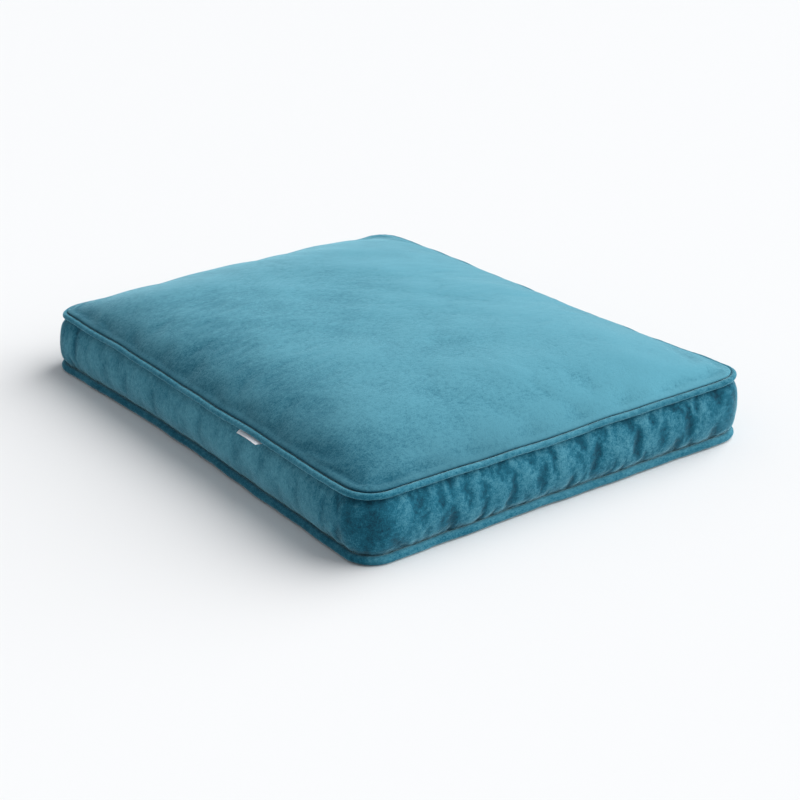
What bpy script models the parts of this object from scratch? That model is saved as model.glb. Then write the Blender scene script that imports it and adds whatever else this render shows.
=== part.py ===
"""Pet cushion bed: a boxed suede cover with a corded piping round both panels, a zip in its back
border, and an insert of foam and wadding in a sewn liner.

Metres, +Z up. The origin is on the floor under the middle of the cushion. X runs along the long
sides, and the zip is in the border at +Y. Every soft piece keeps SEWN_GAP to its neighbour.
A cross-section is a list of (out, up): out from the pipings' centre line, and up from a seam.
"""

import math

import bmesh
import bpy

# Overall sizes
LENGTH = 0.737  # over the pipings, along X
WIDTH = 0.541  # over the pipings, along Y
BORDER_HEIGHT = 0.0712  # from the bottom piping's centre to the top one's
CORNER_RADIUS = 0.032  # of the pipings' centre line
CROWN = 0.040  # middle of the top panel above its own edge
CROWN_REACH = 0.045  # from its edge to where the crown has risen by two thirds

# Cloth, piping and seams
FABRIC = 0.0012
SEWN_GAP = 0.0003
CORD_RADIUS = 0.00325
ALLOWANCE = 0.009  # of cloth inside each seam, past the piping
SEAM_INSET = 0.0016  # from the piping's inner side to a bend's centre
BORDER_BULGE = 0.0006  # from the piping's outer side in to the middle of the border's cloth

# Zip
ZIP_FROM_CORNER = 0.0068  # of plain border between a corner and the strips beside the zip
ZIP_FROM_JOIN = 0.0250  # from a join beside the zip to the end of its chain
ZIP_BULGE = 0.0003  # how far out the strips beside the zip stand, at their folded edges
ZIP_HEM = 0.010
HEM_GAP = 0.0006  # between the two layers of a folded edge
TAPE_THICKNESS = 0.0006
TAPE_WIDTH = 0.0140
TAPE_END = 0.023  # of tape past each end of the zip
CHAIN_THICKNESS = 0.0020
CHAIN_HALF_WIDTH = 0.0026
POST_WIDTH = 0.0014  # of the slider's wedge between the two tapes
POST_LENGTH = 0.0026
POST_FROM_MIDDLE = 0.0022  # of the slider, towards the end where the zip shuts
PARTING = 0.0050  # of chain over which its halves part

SLIDER_LENGTH = 0.0120
SLIDER_PLATE = 0.0012
SLIDER_WALL = 0.0008
SLIDER_CLEARANCE = 0.0003
SLIDER_FROM_END = 0.0100  # from the end of the zip to the slider's middle when it is shut
BAIL_HALF_SPAN = 0.0027
BAIL_BAR = 0.0009
BAIL_WIDTH = 0.00135
BAIL_ROOM = 0.0018  # under the bail, for the pull's pin
PULL_PIN = 0.0010  # across the pull's square pin
PULL_THICKNESS = 0.0012
PULL_WIDTH = 0.0070
PULL_LENGTH = 0.0260
PULL_EYE_LENGTH = 0.0042  # from the pin's middle
PULL_EYE_WIDTH = 0.0026
STOP_LENGTH = 0.0030
STOP_WALL = 0.0005

# Label
LABEL_WIDTH = 0.050
LABEL_MIDDLE_X = 0.142
LABEL_THICKNESS = 0.0008
LABEL_DROOP = ((0.0016, -0.0016), (0.0037, -0.0030), (0.0058, -0.0039), (0.0077, -0.0042))

# Insert
LINER = 0.0006
LINER_INSET = 0.0090  # of the liner's sides
LINER_SEAM_OUT = 0.0060  # inset of the edge of the liner's own seam
FOAM_BELOW_SEAM = 0.0153  # from the top seam down to the foam
BOTTOM_WADDING = 0.008

# Profiles of the insert, as (out, up). Out is from the inner ends of the cover's allowances
LINER_FOOT = ((-0.0090, 0.0), (-0.0025, 0.0018), (-0.0004, 0.0062), (0.0022, 0.0120))
LINER_SHOULDER = ((0.0022, -0.0075), (-0.0004, -0.0037))  # up is from the top seam
LINER_WALL_IN = 0.0010  # of the liner's upright wall from its inset
LINER_WALL_LOW = 0.0200  # of that wall above the liner's floor
LINER_WALL_HIGH = -0.0125  # of that wall's top from the top seam
PAD_EDGE = ((-0.0130, 0.0), (-0.0040, 0.0030), (-0.0018, BOTTOM_WADDING))
FOAM_FOOT_OUT = -0.0022
FOAM_TOP_OUT = -0.0012
FOAM_SIDE_GAP = 0.0024  # between the foam's side and the liner
FOAM_FOOT_HEIGHT = 0.0090
FOAM_SHOULDER = 0.0040
TOP_WADDING_EDGE = ((-0.0016, 0.0), (-0.0020, -0.0050))  # the second from the top seam
TOP_WADDING_IN = 0.0018  # of its crown's first ring

# How finely curves are faceted
ARC_STEPS = 5
LONG_SIDE_STEPS = 4
SHORT_SIDE_STEPS = 3
LEAST_CORNER = 0.006  # radius of a ring's corners well inside the outline
CROWN_DEPTHS = (0.004, 0.010, 0.016, 0.024, 0.036, 0.055, 0.085, 0.130, 0.190)  # of its rings

# Worked out from the sizes above
PIPING_INNER = CORD_RADIUS + SEWN_GAP
PIPING_RADIUS = PIPING_INNER + FABRIC
HALF_X = LENGTH / 2 - PIPING_RADIUS
HALF_Y = WIDTH / 2 - PIPING_RADIUS
BOTTOM_SEAM = PIPING_RADIUS
TOP_SEAM = BOTTOM_SEAM + BORDER_HEIGHT
FLANGE_OUTER = SEWN_GAP / 2 + FABRIC
ALLOWANCE_UP = FLANGE_OUTER + SEWN_GAP + FABRIC / 2
ALLOWANCE_END = -(PIPING_RADIUS + ALLOWANCE)
BEND_OUT = -(PIPING_RADIUS + SEAM_INSET)
BEND_RADIUS = FABRIC * 0.75  # of a cloth's middle where it turns into a seam
BOTTOM_BEND_RADIUS = (BOTTOM_SEAM - ALLOWANCE_UP - FABRIC / 2) / 2
ZIP_HEIGHT = (BOTTOM_SEAM + TOP_SEAM) / 2
ZIP_BORDER_LENGTH = 2 * (HALF_X - CORNER_RADIUS - ZIP_FROM_CORNER)
ZIP_LENGTH = ZIP_BORDER_LENGTH - 2 * ZIP_FROM_JOIN
HEM_RADIUS = (FABRIC + HEM_GAP) / 2
HEM_OUT = ZIP_BULGE - 2 * HEM_RADIUS
TAPE_OUT = HEM_OUT - FABRIC / 2 - SEWN_GAP - TAPE_THICKNESS / 2
CHAIN_BACK = TAPE_OUT + TAPE_THICKNESS / 2 + SEWN_GAP
CHAIN_FRONT = CHAIN_BACK + CHAIN_THICKNESS
TAPE_EDGE = POST_WIDTH / 2 + SLIDER_CLEARANCE
SLIDER_WALL_IN = TAPE_EDGE + CHAIN_HALF_WIDTH + SLIDER_CLEARANCE
SLIDER_HALF = SLIDER_WALL_IN + SLIDER_WALL
ZIP_LIP = SLIDER_HALF + SEWN_GAP  # from the zip's middle to each folded edge beside it
SLIDER_X = ZIP_LENGTH / 2 - SLIDER_FROM_END
PIN_OUT = CHAIN_FRONT + SLIDER_CLEARANCE + SLIDER_PLATE + BAIL_ROOM / 2

BED = bpy.data.collections.new("pet_cushion_bed")
GUIDES = bpy.data.collections.new("guides")
MATERIALS = {
    "suede": ((0.085, 0.300, 0.380), 0.90, 0.0),
    "cord_cotton": ((0.80, 0.78, 0.72), 0.95, 0.0),
    "zip_cloth": ((0.060, 0.220, 0.290), 0.85, 0.0),
    "zip_nylon": ((0.070, 0.260, 0.330), 0.45, 0.0),
    "zip_metal": ((0.120, 0.300, 0.360), 0.35, 0.6),
    "label_satin": ((0.86, 0.88, 0.90), 0.55, 0.0),
    "liner_cloth": ((0.85, 0.85, 0.83), 0.95, 0.0),
    "wadding": ((0.92, 0.92, 0.90), 1.0, 0.0),
    "foam": ((0.90, 0.86, 0.66), 0.95, 0.0),
}


def clear_scene():
    for old in list(bpy.data.objects):
        bpy.data.objects.remove(old)
    for collection in (BED, GUIDES):
        bpy.context.scene.collection.children.link(collection)


def finish_of(name):
    """The named material, made once from MATERIALS."""
    made = bpy.data.materials.get(name)
    if made:
        return made
    colour, roughness, metallic = MATERIALS[name]
    made = bpy.data.materials.new(name)
    made.use_nodes = True
    shader = made.node_tree.nodes["Principled BSDF"]
    shader.inputs["Base Color"].default_value = (*colour, 1.0)
    shader.inputs["Roughness"].default_value = roughness
    shader.inputs["Metallic"].default_value = metallic
    return made


def add_object(name, data, finish, location=(0, 0, 0)):
    made = bpy.data.objects.new(name, data)
    made.location = location
    data.materials.append(finish_of(finish))
    BED.objects.link(made)
    return made


# Outlines in plan


def corner_arc(corner, offset, steps=ARC_STEPS):
    """Plan points of one rounded corner, anticlockwise. Corner 0 is at +X -Y, and 1 at +X +Y."""
    radius = max(CORNER_RADIUS + offset, LEAST_CORNER)
    way_x = 1 if corner in (0, 1) else -1
    way_y = 1 if corner in (1, 2) else -1
    middle_x = way_x * (HALF_X + offset - radius)
    middle_y = way_y * (HALF_Y + offset - radius)
    start = math.radians(90 * corner - 90)
    turns = [start + math.radians(90) * step / steps for step in range(steps + 1)]
    return [(middle_x + radius * math.cos(a), middle_y + radius * math.sin(a)) for a in turns]


def between(first, last, steps):
    """The points that cut a straight run into steps, without its two ends."""
    shares = [step / steps for step in range(1, steps)]
    return [
        (first[0] + (last[0] - first[0]) * s, first[1] + (last[1] - first[1]) * s) for s in shares
    ]


def outline(offset, divided=False):
    """The closed rounded rectangle at this offset out from the pipings' centre line."""
    points = []
    for corner in range(4):
        arc = corner_arc(corner, offset)
        points += arc
        if divided:
            following = corner_arc((corner + 1) % 4, offset)[0]
            steps = SHORT_SIDE_STEPS if corner in (0, 2) else LONG_SIDE_STEPS
            points += between(arc[-1], following, steps)
    return points


def crown(x, y, height):
    """How far a crowned sheet stands above its edge at a place in plan."""

    def rise(depth):
        return 1 - math.exp(-max(depth, 0) / CROWN_REACH)

    middle = rise(HALF_X + BEND_OUT) * rise(HALF_Y + BEND_OUT)
    deep_x = HALF_X + BEND_OUT - abs(x)
    deep_y = HALF_Y + BEND_OUT - abs(y)
    return height * rise(deep_x) * rise(deep_y) / middle


# Cross-sections, as (out, up)


def turn(middle_out, middle_up, radius, first, last, steps):
    """Points of a bend, its angles in degrees from straight out and positive upwards."""
    angles = [math.radians(first + (last - first) * step / steps) for step in range(steps + 1)]
    return [(middle_out + radius * math.cos(a), middle_up + radius * math.sin(a)) for a in angles]


def thickened(line, thickness):
    """The closed outline of a ribbon of cloth that follows a line."""
    left, right = [], []
    for index, (out, up) in enumerate(line):
        before = line[max(index - 1, 0)]
        after = line[min(index + 1, len(line) - 1)]
        run_out, run_up = after[0] - before[0], after[1] - before[1]
        length = math.hypot(run_out, run_up)
        side_out = -run_up / length * thickness / 2
        side_up = run_out / length * thickness / 2
        left.append((out + side_out, up + side_up))
        right.append((out - side_out, up - side_up))
    return left + right[::-1]


def sleeve_section():
    """The piping's cloth: wrapped round the cord, its two edges lying together in the seam."""
    inside = math.degrees(math.asin(SEWN_GAP / 2 / PIPING_INNER))
    outside = math.degrees(math.asin(FLANGE_OUTER / PIPING_RADIUS))
    inner = turn(0, 0, PIPING_INNER, 180 - inside, inside - 180, 10)
    outer = turn(0, 0, PIPING_RADIUS, outside - 180, 180 - outside, 12)
    upper_end = [(ALLOWANCE_END, FLANGE_OUTER), (ALLOWANCE_END, SEWN_GAP / 2)]
    lower_end = [(ALLOWANCE_END, -SEWN_GAP / 2), (ALLOWANCE_END, -FLANGE_OUTER)]
    return (upper_end + inner + lower_end + outer)[::-1]


def seam_turn(way, steps=3):
    """A border's allowance and the bend out of it. Way is 1 at the bottom seam, -1 at the top."""
    middle_up = way * (ALLOWANCE_UP + BEND_RADIUS)
    bend = turn(BEND_OUT, middle_up, BEND_RADIUS, -90 * way, -25 * way, steps)
    return [(ALLOWANCE_END, way * ALLOWANCE_UP)] + bend


def arched(start, end, bulge, steps):
    """A bulging run from one seam's bend to the other's, without its two ends."""
    points = []
    for step in range(1, steps):
        share = step / steps
        out = start[0] + (bulge - start[0]) * math.sin(math.pi * share)
        points.append((out, start[1] + (end[1] - start[1]) * share))
    return points


def border_section():
    """The border's cloth from the top seam down to the bottom one, its heights from the floor."""
    top = [(out, TOP_SEAM + up) for out, up in seam_turn(-1)]
    bottom = [(out, BOTTOM_SEAM + up) for out, up in seam_turn(1)]
    bulge = PIPING_RADIUS - BORDER_BULGE
    return top + arched(top[-1], bottom[-1], bulge, 8) + bottom[::-1]


def zip_border_section():
    """The upper strip beside the zip: seam, slope, fold and hem, its heights from the zip."""
    seam = [(out, TOP_SEAM - ZIP_HEIGHT + up) for out, up in seam_turn(-1)]
    start, fold_up = seam[-1], ZIP_LIP + FABRIC / 2 + HEM_RADIUS
    slope = []
    for step in range(1, 5):
        share = step / 4
        out = start[0] + (ZIP_BULGE - start[0]) * math.sin(math.pi / 2 * share)
        slope.append((out, start[1] + (fold_up - start[1]) * share))
    fold = turn(ZIP_BULGE - HEM_RADIUS, fold_up, HEM_RADIUS, 0, -180, 6)
    return seam + slope + fold[1:] + [(HEM_OUT, fold_up + ZIP_HEM)]


# Makers of pieces


def poly_curve(name, points, cyclic):
    """A flat curve object's data with one straight-sided spline."""
    curve = bpy.data.curves.new(name, "CURVE")
    curve.dimensions = "2D"
    curve.fill_mode = "NONE"
    spline = curve.splines.new("POLY")
    spline.points.add(len(points) - 1)
    for point, (x, y) in zip(spline.points, points):
        point.co = (x, y, 0, 1)
    spline.use_cyclic_u = cyclic
    return curve


def guide_section(name, points, cyclic):
    guide = bpy.data.objects.new(name, poly_curve(name, points, cyclic))
    guide.hide_render = True
    guide.display_type = "WIRE"
    GUIDES.objects.link(guide)
    return guide


def swept(name, path, path_cyclic, section, section_cyclic, finish, height=0.0):
    """A cross-section carried along a plan path that runs anticlockwise."""
    curve = poly_curve(name, path, path_cyclic)
    curve.dimensions = "3D"
    curve.twist_mode = "Z_UP"
    curve.bevel_mode = "OBJECT"
    curve.bevel_object = guide_section(name + "_section", section, section_cyclic)
    return add_object(name, curve, finish, (0, 0, height))


def solidify(piece, thickness):
    shell = piece.modifiers.new("thickness", "SOLIDIFY")
    shell.thickness = thickness
    shell.offset = 0
    shell.use_even_offset = True


def lofted(name, rings, finish, capped=(False, True)):
    """A surface through closed rings of equal count, each anticlockwise, from outside inwards.
    A capped end is filled with a face."""
    mesh = bpy.data.meshes.new(name)
    shape = bmesh.new()
    made = [[shape.verts.new(point) for point in ring] for ring in rings]
    for lower, upper in zip(made, made[1:]):
        for index in range(len(lower)):
            following = (index + 1) % len(lower)
            shape.faces.new((lower[index], lower[following], upper[following], upper[index]))
    if capped[0]:
        shape.faces.new(made[0][::-1])
    if capped[1]:
        shape.faces.new(made[-1])
    bmesh.ops.recalc_face_normals(shape, faces=shape.faces)
    shape.to_mesh(mesh)
    shape.free()
    return add_object(name, mesh, finish)


def ring_at(offset, height, divided=False):
    return [(x, y, height) for x, y in outline(offset, divided)]


def crowned_rings(depths, edge_out, edge_up, height):
    """Rings of a crowned sheet, each at a depth inwards from its edge."""
    rings = []
    for depth in depths:
        places = outline(edge_out - depth, divided=True)
        rings.append([(x, y, edge_up + crown(x, y, height)) for x, y in places])
    return rings


def extruded(name, section, length, finish, middle, turned):
    """A flat outline drawn in X and Y and pushed out to both sides by half the length."""
    curve = poly_curve(name, section, True)
    curve.fill_mode = "BOTH"
    curve.extrude = length / 2
    piece = add_object(name, curve, finish, middle)
    piece.rotation_euler = turned
    return piece


def box_mesh(name, low, high):
    """A box between two corners, as a new mesh."""
    mesh = bpy.data.meshes.new(name)
    shape = bmesh.new()
    bmesh.ops.create_cube(shape, size=1)
    for vertex in shape.verts:
        vertex.co = [lo + (hi - lo) * (c + 0.5) for lo, hi, c in zip(low, high, vertex.co)]
    shape.to_mesh(mesh)
    shape.free()
    return mesh


def joined(piece, others, operation="UNION"):
    """Adds a Boolean to a piece for each other mesh object."""
    for other in others:
        step = piece.modifiers.new(operation.lower(), "BOOLEAN")
        step.operation = operation
        step.object = other
        step.solver = "EXACT"


def helper_box(name, low, high):
    helper = bpy.data.objects.new(name, box_mesh(name, low, high))
    helper.hide_render = True
    helper.display_type = "WIRE"
    GUIDES.objects.link(helper)
    return helper


# The cover


def top_panel():
    """The crowned sleeping surface, with the allowance that goes into its seam."""
    bend = turn(BEND_OUT, ALLOWANCE_UP + BEND_RADIUS, BEND_RADIUS, -90, 45, 4)
    seam = [(ALLOWANCE_END, ALLOWANCE_UP)] + bend
    rings = [ring_at(out, TOP_SEAM + up, divided=True) for out, up in seam]
    edge_out, edge_up = seam[-1]
    rings += crowned_rings(CROWN_DEPTHS, edge_out, TOP_SEAM + edge_up, CROWN)
    solidify(lofted("top_panel", rings, "suede"), FABRIC)


def bottom_panel():
    """The flat underside, turned up and back on itself into its seam."""
    middle_up = -(ALLOWANCE_UP + BOTTOM_BEND_RADIUS)
    bend = turn(BEND_OUT, middle_up, BOTTOM_BEND_RADIUS, 90, -90, 6)
    seam = [(ALLOWANCE_END, -ALLOWANCE_UP)] + bend
    rings = [ring_at(out, BOTTOM_SEAM + up) for out, up in seam]
    rings.append(ring_at(ALLOWANCE_END - ALLOWANCE, FABRIC / 2))
    solidify(lofted("bottom_panel", rings, "suede"), FABRIC)


def borders():
    """The strip round the front and right sides and, past a join on the left side, a second one
    that runs on to the zip."""
    join_x = ZIP_BORDER_LENGTH / 2 + SEWN_GAP
    join_y = -HALF_Y / 3
    main = [(-HALF_X, join_y), *corner_arc(3, 0), *corner_arc(0, 0), *corner_arc(1, 0)]
    main.append((join_x, HALF_Y))
    left = [(-join_x, HALF_Y), *corner_arc(2, 0), (-HALF_X, join_y + SEWN_GAP)]
    for name, path in (("border_main", main), ("border_left", left)):
        solidify(swept(name, path, False, border_section(), False, "suede"), FABRIC)


def pipings():
    for name, height in (("bottom_piping", BOTTOM_SEAM), ("top_piping", TOP_SEAM)):
        swept(name + "_sleeve", outline(0), True, sleeve_section(), True, "suede", height)
        cord = poly_curve(name + "_cord", outline(0), True)
        cord.bevel_depth = CORD_RADIUS
        cord.bevel_resolution = 2
        add_object(name + "_cord", cord, "cord_cotton", (0, 0, height))


# The zip: out is along +Y, and up from the zip's middle along Z

ALONG_X = (math.radians(90), 0, math.radians(90))  # turns a section's X to +Y and its Y to +Z


def zip_strip(name, section, length, finish, x=0.0, way=1):
    """A section beside the zip run out along X. Way is -1 for the lower side's mirror image."""
    mirrored = [(out, up * way) for out, up in section]
    return extruded(name, mirrored, length, finish, (x, HALF_Y, ZIP_HEIGHT), ALONG_X)


def zip_borders_and_tapes():
    border = thickened(zip_border_section(), FABRIC)
    front, back = TAPE_OUT + TAPE_THICKNESS / 2, TAPE_OUT - TAPE_THICKNESS / 2
    low, high = TAPE_EDGE, TAPE_EDGE + TAPE_WIDTH
    tape = [(back, low), (front, low), (front, high), (back, high)]
    for side, way in (("upper", 1), ("lower", -1)):
        zip_strip("zip_border_" + side, border, ZIP_BORDER_LENGTH, "suede", way=way)
        tape_length = ZIP_LENGTH + 2 * TAPE_END
        zip_strip("zip_tape_" + side, tape, tape_length, "zip_cloth", way=way)


def zip_chains():
    """Each half of the nylon chain, its end led round the slider's wedge to its stop."""
    parted = TAPE_EDGE - SEWN_GAP / 2
    end = ZIP_LENGTH / 2 - STOP_LENGTH
    post = SLIDER_X + POST_FROM_MIDDLE
    # the run of each half's inner edge, as (x, how far it has parted)
    run = [(-end, 0), (post - PARTING, 0), (post, parted), (end, parted)]
    for side, way in (("upper", 1), ("lower", -1)):
        inner = [(x, way * (SEWN_GAP / 2 + apart)) for x, apart in run]
        outer = [(x, up + way * CHAIN_HALF_WIDTH) for x, up in reversed(inner)]
        middle = (0, HALF_Y + CHAIN_BACK + CHAIN_THICKNESS / 2, ZIP_HEIGHT)
        upright = (math.radians(90), 0, 0)
        chain = inner + outer
        extruded("zip_chain_" + side, chain, CHAIN_THICKNESS, "zip_nylon", middle, upright)


def stop_section(low, high):
    """A clip round one tape's edge, open away from the other tape."""
    front, back = TAPE_OUT + TAPE_THICKNESS / 2, TAPE_OUT - TAPE_THICKNESS / 2
    near = low - SEWN_GAP
    return [
        (back - SEWN_GAP - STOP_WALL, near - STOP_WALL),
        (front + SEWN_GAP + CHAIN_THICKNESS / 2, near - STOP_WALL),
        (front + SEWN_GAP + CHAIN_THICKNESS / 2, high),
        (front + SEWN_GAP, high),
        (front + SEWN_GAP, near),
        (back - SEWN_GAP, near),
        (back - SEWN_GAP, high),
        (back - SEWN_GAP - STOP_WALL, high),
    ]


def zip_stops():
    """A clip on each tape where the zip shuts, and one clip over both where it opens."""
    end = ZIP_LENGTH / 2 - STOP_LENGTH / 2 + SEWN_GAP
    top = stop_section(TAPE_EDGE, TAPE_EDGE + CHAIN_HALF_WIDTH)
    for side, way in (("upper", 1), ("lower", -1)):
        name = "zip_top_stop_" + side
        zip_strip(name, top, STOP_LENGTH - 2 * SEWN_GAP, "zip_metal", end, way)
    front = TAPE_OUT + TAPE_THICKNESS / 2 + SEWN_GAP
    back = TAPE_OUT - TAPE_THICKNESS / 2 - SEWN_GAP
    wall_front, wall_back = front + CHAIN_THICKNESS / 2, back - STOP_WALL
    web, half = TAPE_EDGE - SEWN_GAP, CHAIN_HALF_WIDTH
    outline_up = [
        (wall_back, half), (back, half), (back, web), (front, web), (front, half),
        (wall_front, half),
    ]
    box = outline_up + [(out, -up) for out, up in reversed(outline_up)]
    zip_strip("zip_bottom_stop", box, STOP_LENGTH - 2 * SEWN_GAP, "zip_metal", -end)


def zip_slider():
    """Two plates held apart by the wedge between the tapes, side walls, and the bail on top."""
    y, z = HALF_Y, ZIP_HEIGHT
    outer_low = y + CHAIN_FRONT + SLIDER_CLEARANCE
    outer_high = outer_low + SLIDER_PLATE
    inner_high = y + TAPE_OUT - TAPE_THICKNESS / 2 - SLIDER_CLEARANCE
    inner_low = inner_high - SLIDER_PLATE
    wall_low = y + TAPE_OUT + TAPE_THICKNESS / 2 + SLIDER_CLEARANCE
    half = SLIDER_HALF
    back_x, front_x = SLIDER_X - SLIDER_LENGTH / 2, SLIDER_X + SLIDER_LENGTH / 2
    bite = SLIDER_PLATE / 2  # how deep joined boxes run into each other

    mesh = box_mesh("zip_slider", (back_x, outer_low, z - half), (front_x, outer_high, z + half))
    slider = add_object("zip_slider", mesh, "zip_metal")
    post_back = SLIDER_X + POST_FROM_MIDDLE
    post_front, post = post_back + POST_LENGTH, POST_WIDTH / 2
    bail_low, bail_high = outer_high + BAIL_ROOM, outer_high + BAIL_ROOM + BAIL_BAR
    bail_half = BAIL_WIDTH / 2
    legs = []
    for way in (-1, 1):
        near = SLIDER_X + way * (BAIL_HALF_SPAN - BAIL_BAR)
        far = SLIDER_X + way * BAIL_HALF_SPAN
        legs.append((min(near, far), max(near, far)))
    boxes = [
        ((back_x, inner_low, z - half), (front_x, inner_high, z + half)),
        ((post_back, inner_high - bite, z - post), (post_front, outer_low + bite, z + post)),
        ((back_x, wall_low, z + SLIDER_WALL_IN), (front_x, outer_low + bite, z + half)),
        ((back_x, wall_low, z - half), (front_x, outer_low + bite, z - SLIDER_WALL_IN)),
        ((legs[0][0], outer_high - bite, z - bail_half), (legs[0][1], bail_high, z + bail_half)),
        ((legs[1][0], outer_high - bite, z - bail_half), (legs[1][1], bail_high, z + bail_half)),
        ((legs[0][0], bail_low, z - bail_half), (legs[1][1], bail_high, z + bail_half)),
    ]
    joined(slider, [helper_box(f"slider_box_{n}", *box) for n, box in enumerate(boxes)])


def meshed(curve_object):
    """The curve's shape as a new mesh with its caps welded. The curve object is removed."""
    bpy.context.view_layer.update()
    graph = bpy.context.evaluated_depsgraph_get()
    mesh = bpy.data.meshes.new_from_object(curve_object.evaluated_get(graph))
    bpy.data.objects.remove(curve_object)
    shape = bmesh.new()
    shape.from_mesh(mesh)
    bmesh.ops.remove_doubles(shape, verts=shape.verts, dist=1e-6)
    shape.to_mesh(mesh)
    shape.free()
    mesh.materials.clear()
    return mesh


def zip_pull():
    """A flat tab with an eye round the bail, and a square pin under it. Its origin is on the
    pin. Before it is turned, X is away from the slider's shut end and Z is out."""
    pin, eye = PULL_PIN / 2, PULL_EYE_WIDTH / 2
    half, thick = PULL_WIDTH / 2, PULL_THICKNESS / 2
    round_middle = PULL_LENGTH - half
    tab = [(pin, -half), (pin, half)]
    tab += [(x - round_middle, y) for x, y in turn(0, 0, half, 90, 270, 8)]
    middle, upright = (SLIDER_X, HALF_Y + PIN_OUT, ZIP_HEIGHT), (math.radians(90), 0, 0)
    flat = extruded("pull_outline", tab, PULL_THICKNESS, "zip_metal", (0, 0, 0), (0, 0, 0))
    pull = add_object("zip_pull", meshed(flat), "zip_metal", middle)
    pull.rotation_euler = upright
    past = 2 * thick
    cutters = [helper_box("pull_eye", (-PULL_EYE_LENGTH, -eye, -past), (-pin, eye, past))]
    # over the bail's width the head is thinned to the pin
    for name, low, high in (("pull_front", pin, past), ("pull_back", -past, -pin)):
        cutters.append(helper_box(name, (-2 * pin, -eye, low), (2 * pin, eye, high)))
    for cutter in cutters:
        cutter.location = middle
        cutter.rotation_euler = upright
    joined(pull, cutters, "DIFFERENCE")


# Label and insert


def side_label():
    """A folded label held under the top piping on the front side, curling outwards."""
    start_angle = math.radians(-125)
    reach = PIPING_RADIUS + LABEL_THICKNESS / 2 + 1.5 * SEWN_GAP
    start = (reach * math.cos(start_angle), reach * math.sin(start_angle))
    line = [start] + [(start[0] + out, start[1] + up) for out, up in LABEL_DROOP]
    section = thickened(line, LABEL_THICKNESS)
    outwards = (math.radians(90), 0, math.radians(-90))
    middle = (LABEL_MIDDLE_X, -HALF_Y, TOP_SEAM)
    extruded("side_label", section, LABEL_WIDTH, "label_satin", middle, outwards)


def liner_and_fill():
    """The insert: a foam slab between two layers of wadding, in a liner seamed round its middle."""
    middle = (BOTTOM_SEAM + TOP_SEAM) / 2
    floor = FABRIC + SEWN_GAP + LINER / 2
    part = LINER / 2 + SEWN_GAP / 2
    seam = (-LINER_SEAM_OUT, -LINER_INSET)
    panel_out = BEND_OUT + BEND_RADIUS * math.cos(math.radians(45))
    panel_up = ALLOWANCE_UP + BEND_RADIUS * (1 + math.sin(math.radians(45)))
    liner_up = TOP_SEAM + panel_up - FABRIC - LINER - SEWN_GAP
    seam_inner = ALLOWANCE_END - LINER - SEWN_GAP

    foot = [(seam_inner + out, floor + up) for out, up in LINER_FOOT]
    wall_out = -LINER_INSET - LINER_WALL_IN
    foot.append((wall_out, floor + LINER_WALL_LOW))
    lower = [ring_at(out, middle - part) for out in seam]
    lower += [ring_at(out, up) for out, up in reversed(foot)]
    solidify(lofted("liner_bottom", lower, "liner_cloth"), LINER)

    shoulder = [(wall_out, TOP_SEAM + LINER_WALL_HIGH)]
    shoulder += [(seam_inner + out, TOP_SEAM + up) for out, up in LINER_SHOULDER]
    upper = [ring_at(out, middle + part, divided=True) for out in seam]
    upper += [ring_at(out, up, divided=True) for out, up in shoulder]
    upper += crowned_rings(CROWN_DEPTHS[1:], panel_out, liner_up, CROWN)
    solidify(lofted("liner_top", upper, "liner_cloth"), LINER)

    base = floor + LINER / 2 + SEWN_GAP
    pad = [ring_at(seam_inner + out, base + up) for out, up in PAD_EDGE]
    lofted("wadding_bottom", pad, "wadding", (True, True))

    foam_low = base + BOTTOM_WADDING + SEWN_GAP
    foam_high = TOP_SEAM - FOAM_BELOW_SEAM
    side = -LINER_INSET - LINER - FOAM_SIDE_GAP
    slab = [(seam_inner + FOAM_FOOT_OUT, foam_low), (side, foam_low + FOAM_FOOT_HEIGHT)]
    slab += [(side, foam_high - FOAM_SHOULDER), (seam_inner + FOAM_TOP_OUT, foam_high)]
    lofted("foam_slab", [ring_at(out, up) for out, up in slab], "foam", (True, True))

    (low_out, _), (high_out, high_up) = TOP_WADDING_EDGE
    soft = [ring_at(seam_inner + low_out, foam_high + SEWN_GAP, divided=True)]
    soft.append(ring_at(seam_inner + high_out, TOP_SEAM + high_up, divided=True))
    depths = (CROWN_DEPTHS[1] + TOP_WADDING_IN, *CROWN_DEPTHS[2:])
    soft += crowned_rings(depths, panel_out, liner_up - LINER - 2 * SEWN_GAP, CROWN)
    lofted("wadding_top", soft, "wadding", (True, True))


def main():
    clear_scene()
    top_panel()
    bottom_panel()
    borders()
    pipings()
    zip_borders_and_tapes()
    zip_chains()
    zip_stops()
    zip_slider()
    zip_pull()
    side_label()
    liner_and_fill()


main()
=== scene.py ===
"""Pet cushion bed: the cloth, pipings, zip, label and filling of the visible cushion, built round
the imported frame. Run as a script, each Operator makes one piece or one group of like pieces."""

import math

import bmesh
import bpy
import numpy as np
from mathutils import Matrix, Vector
from mathutils.bvhtree import BVHTree


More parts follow.
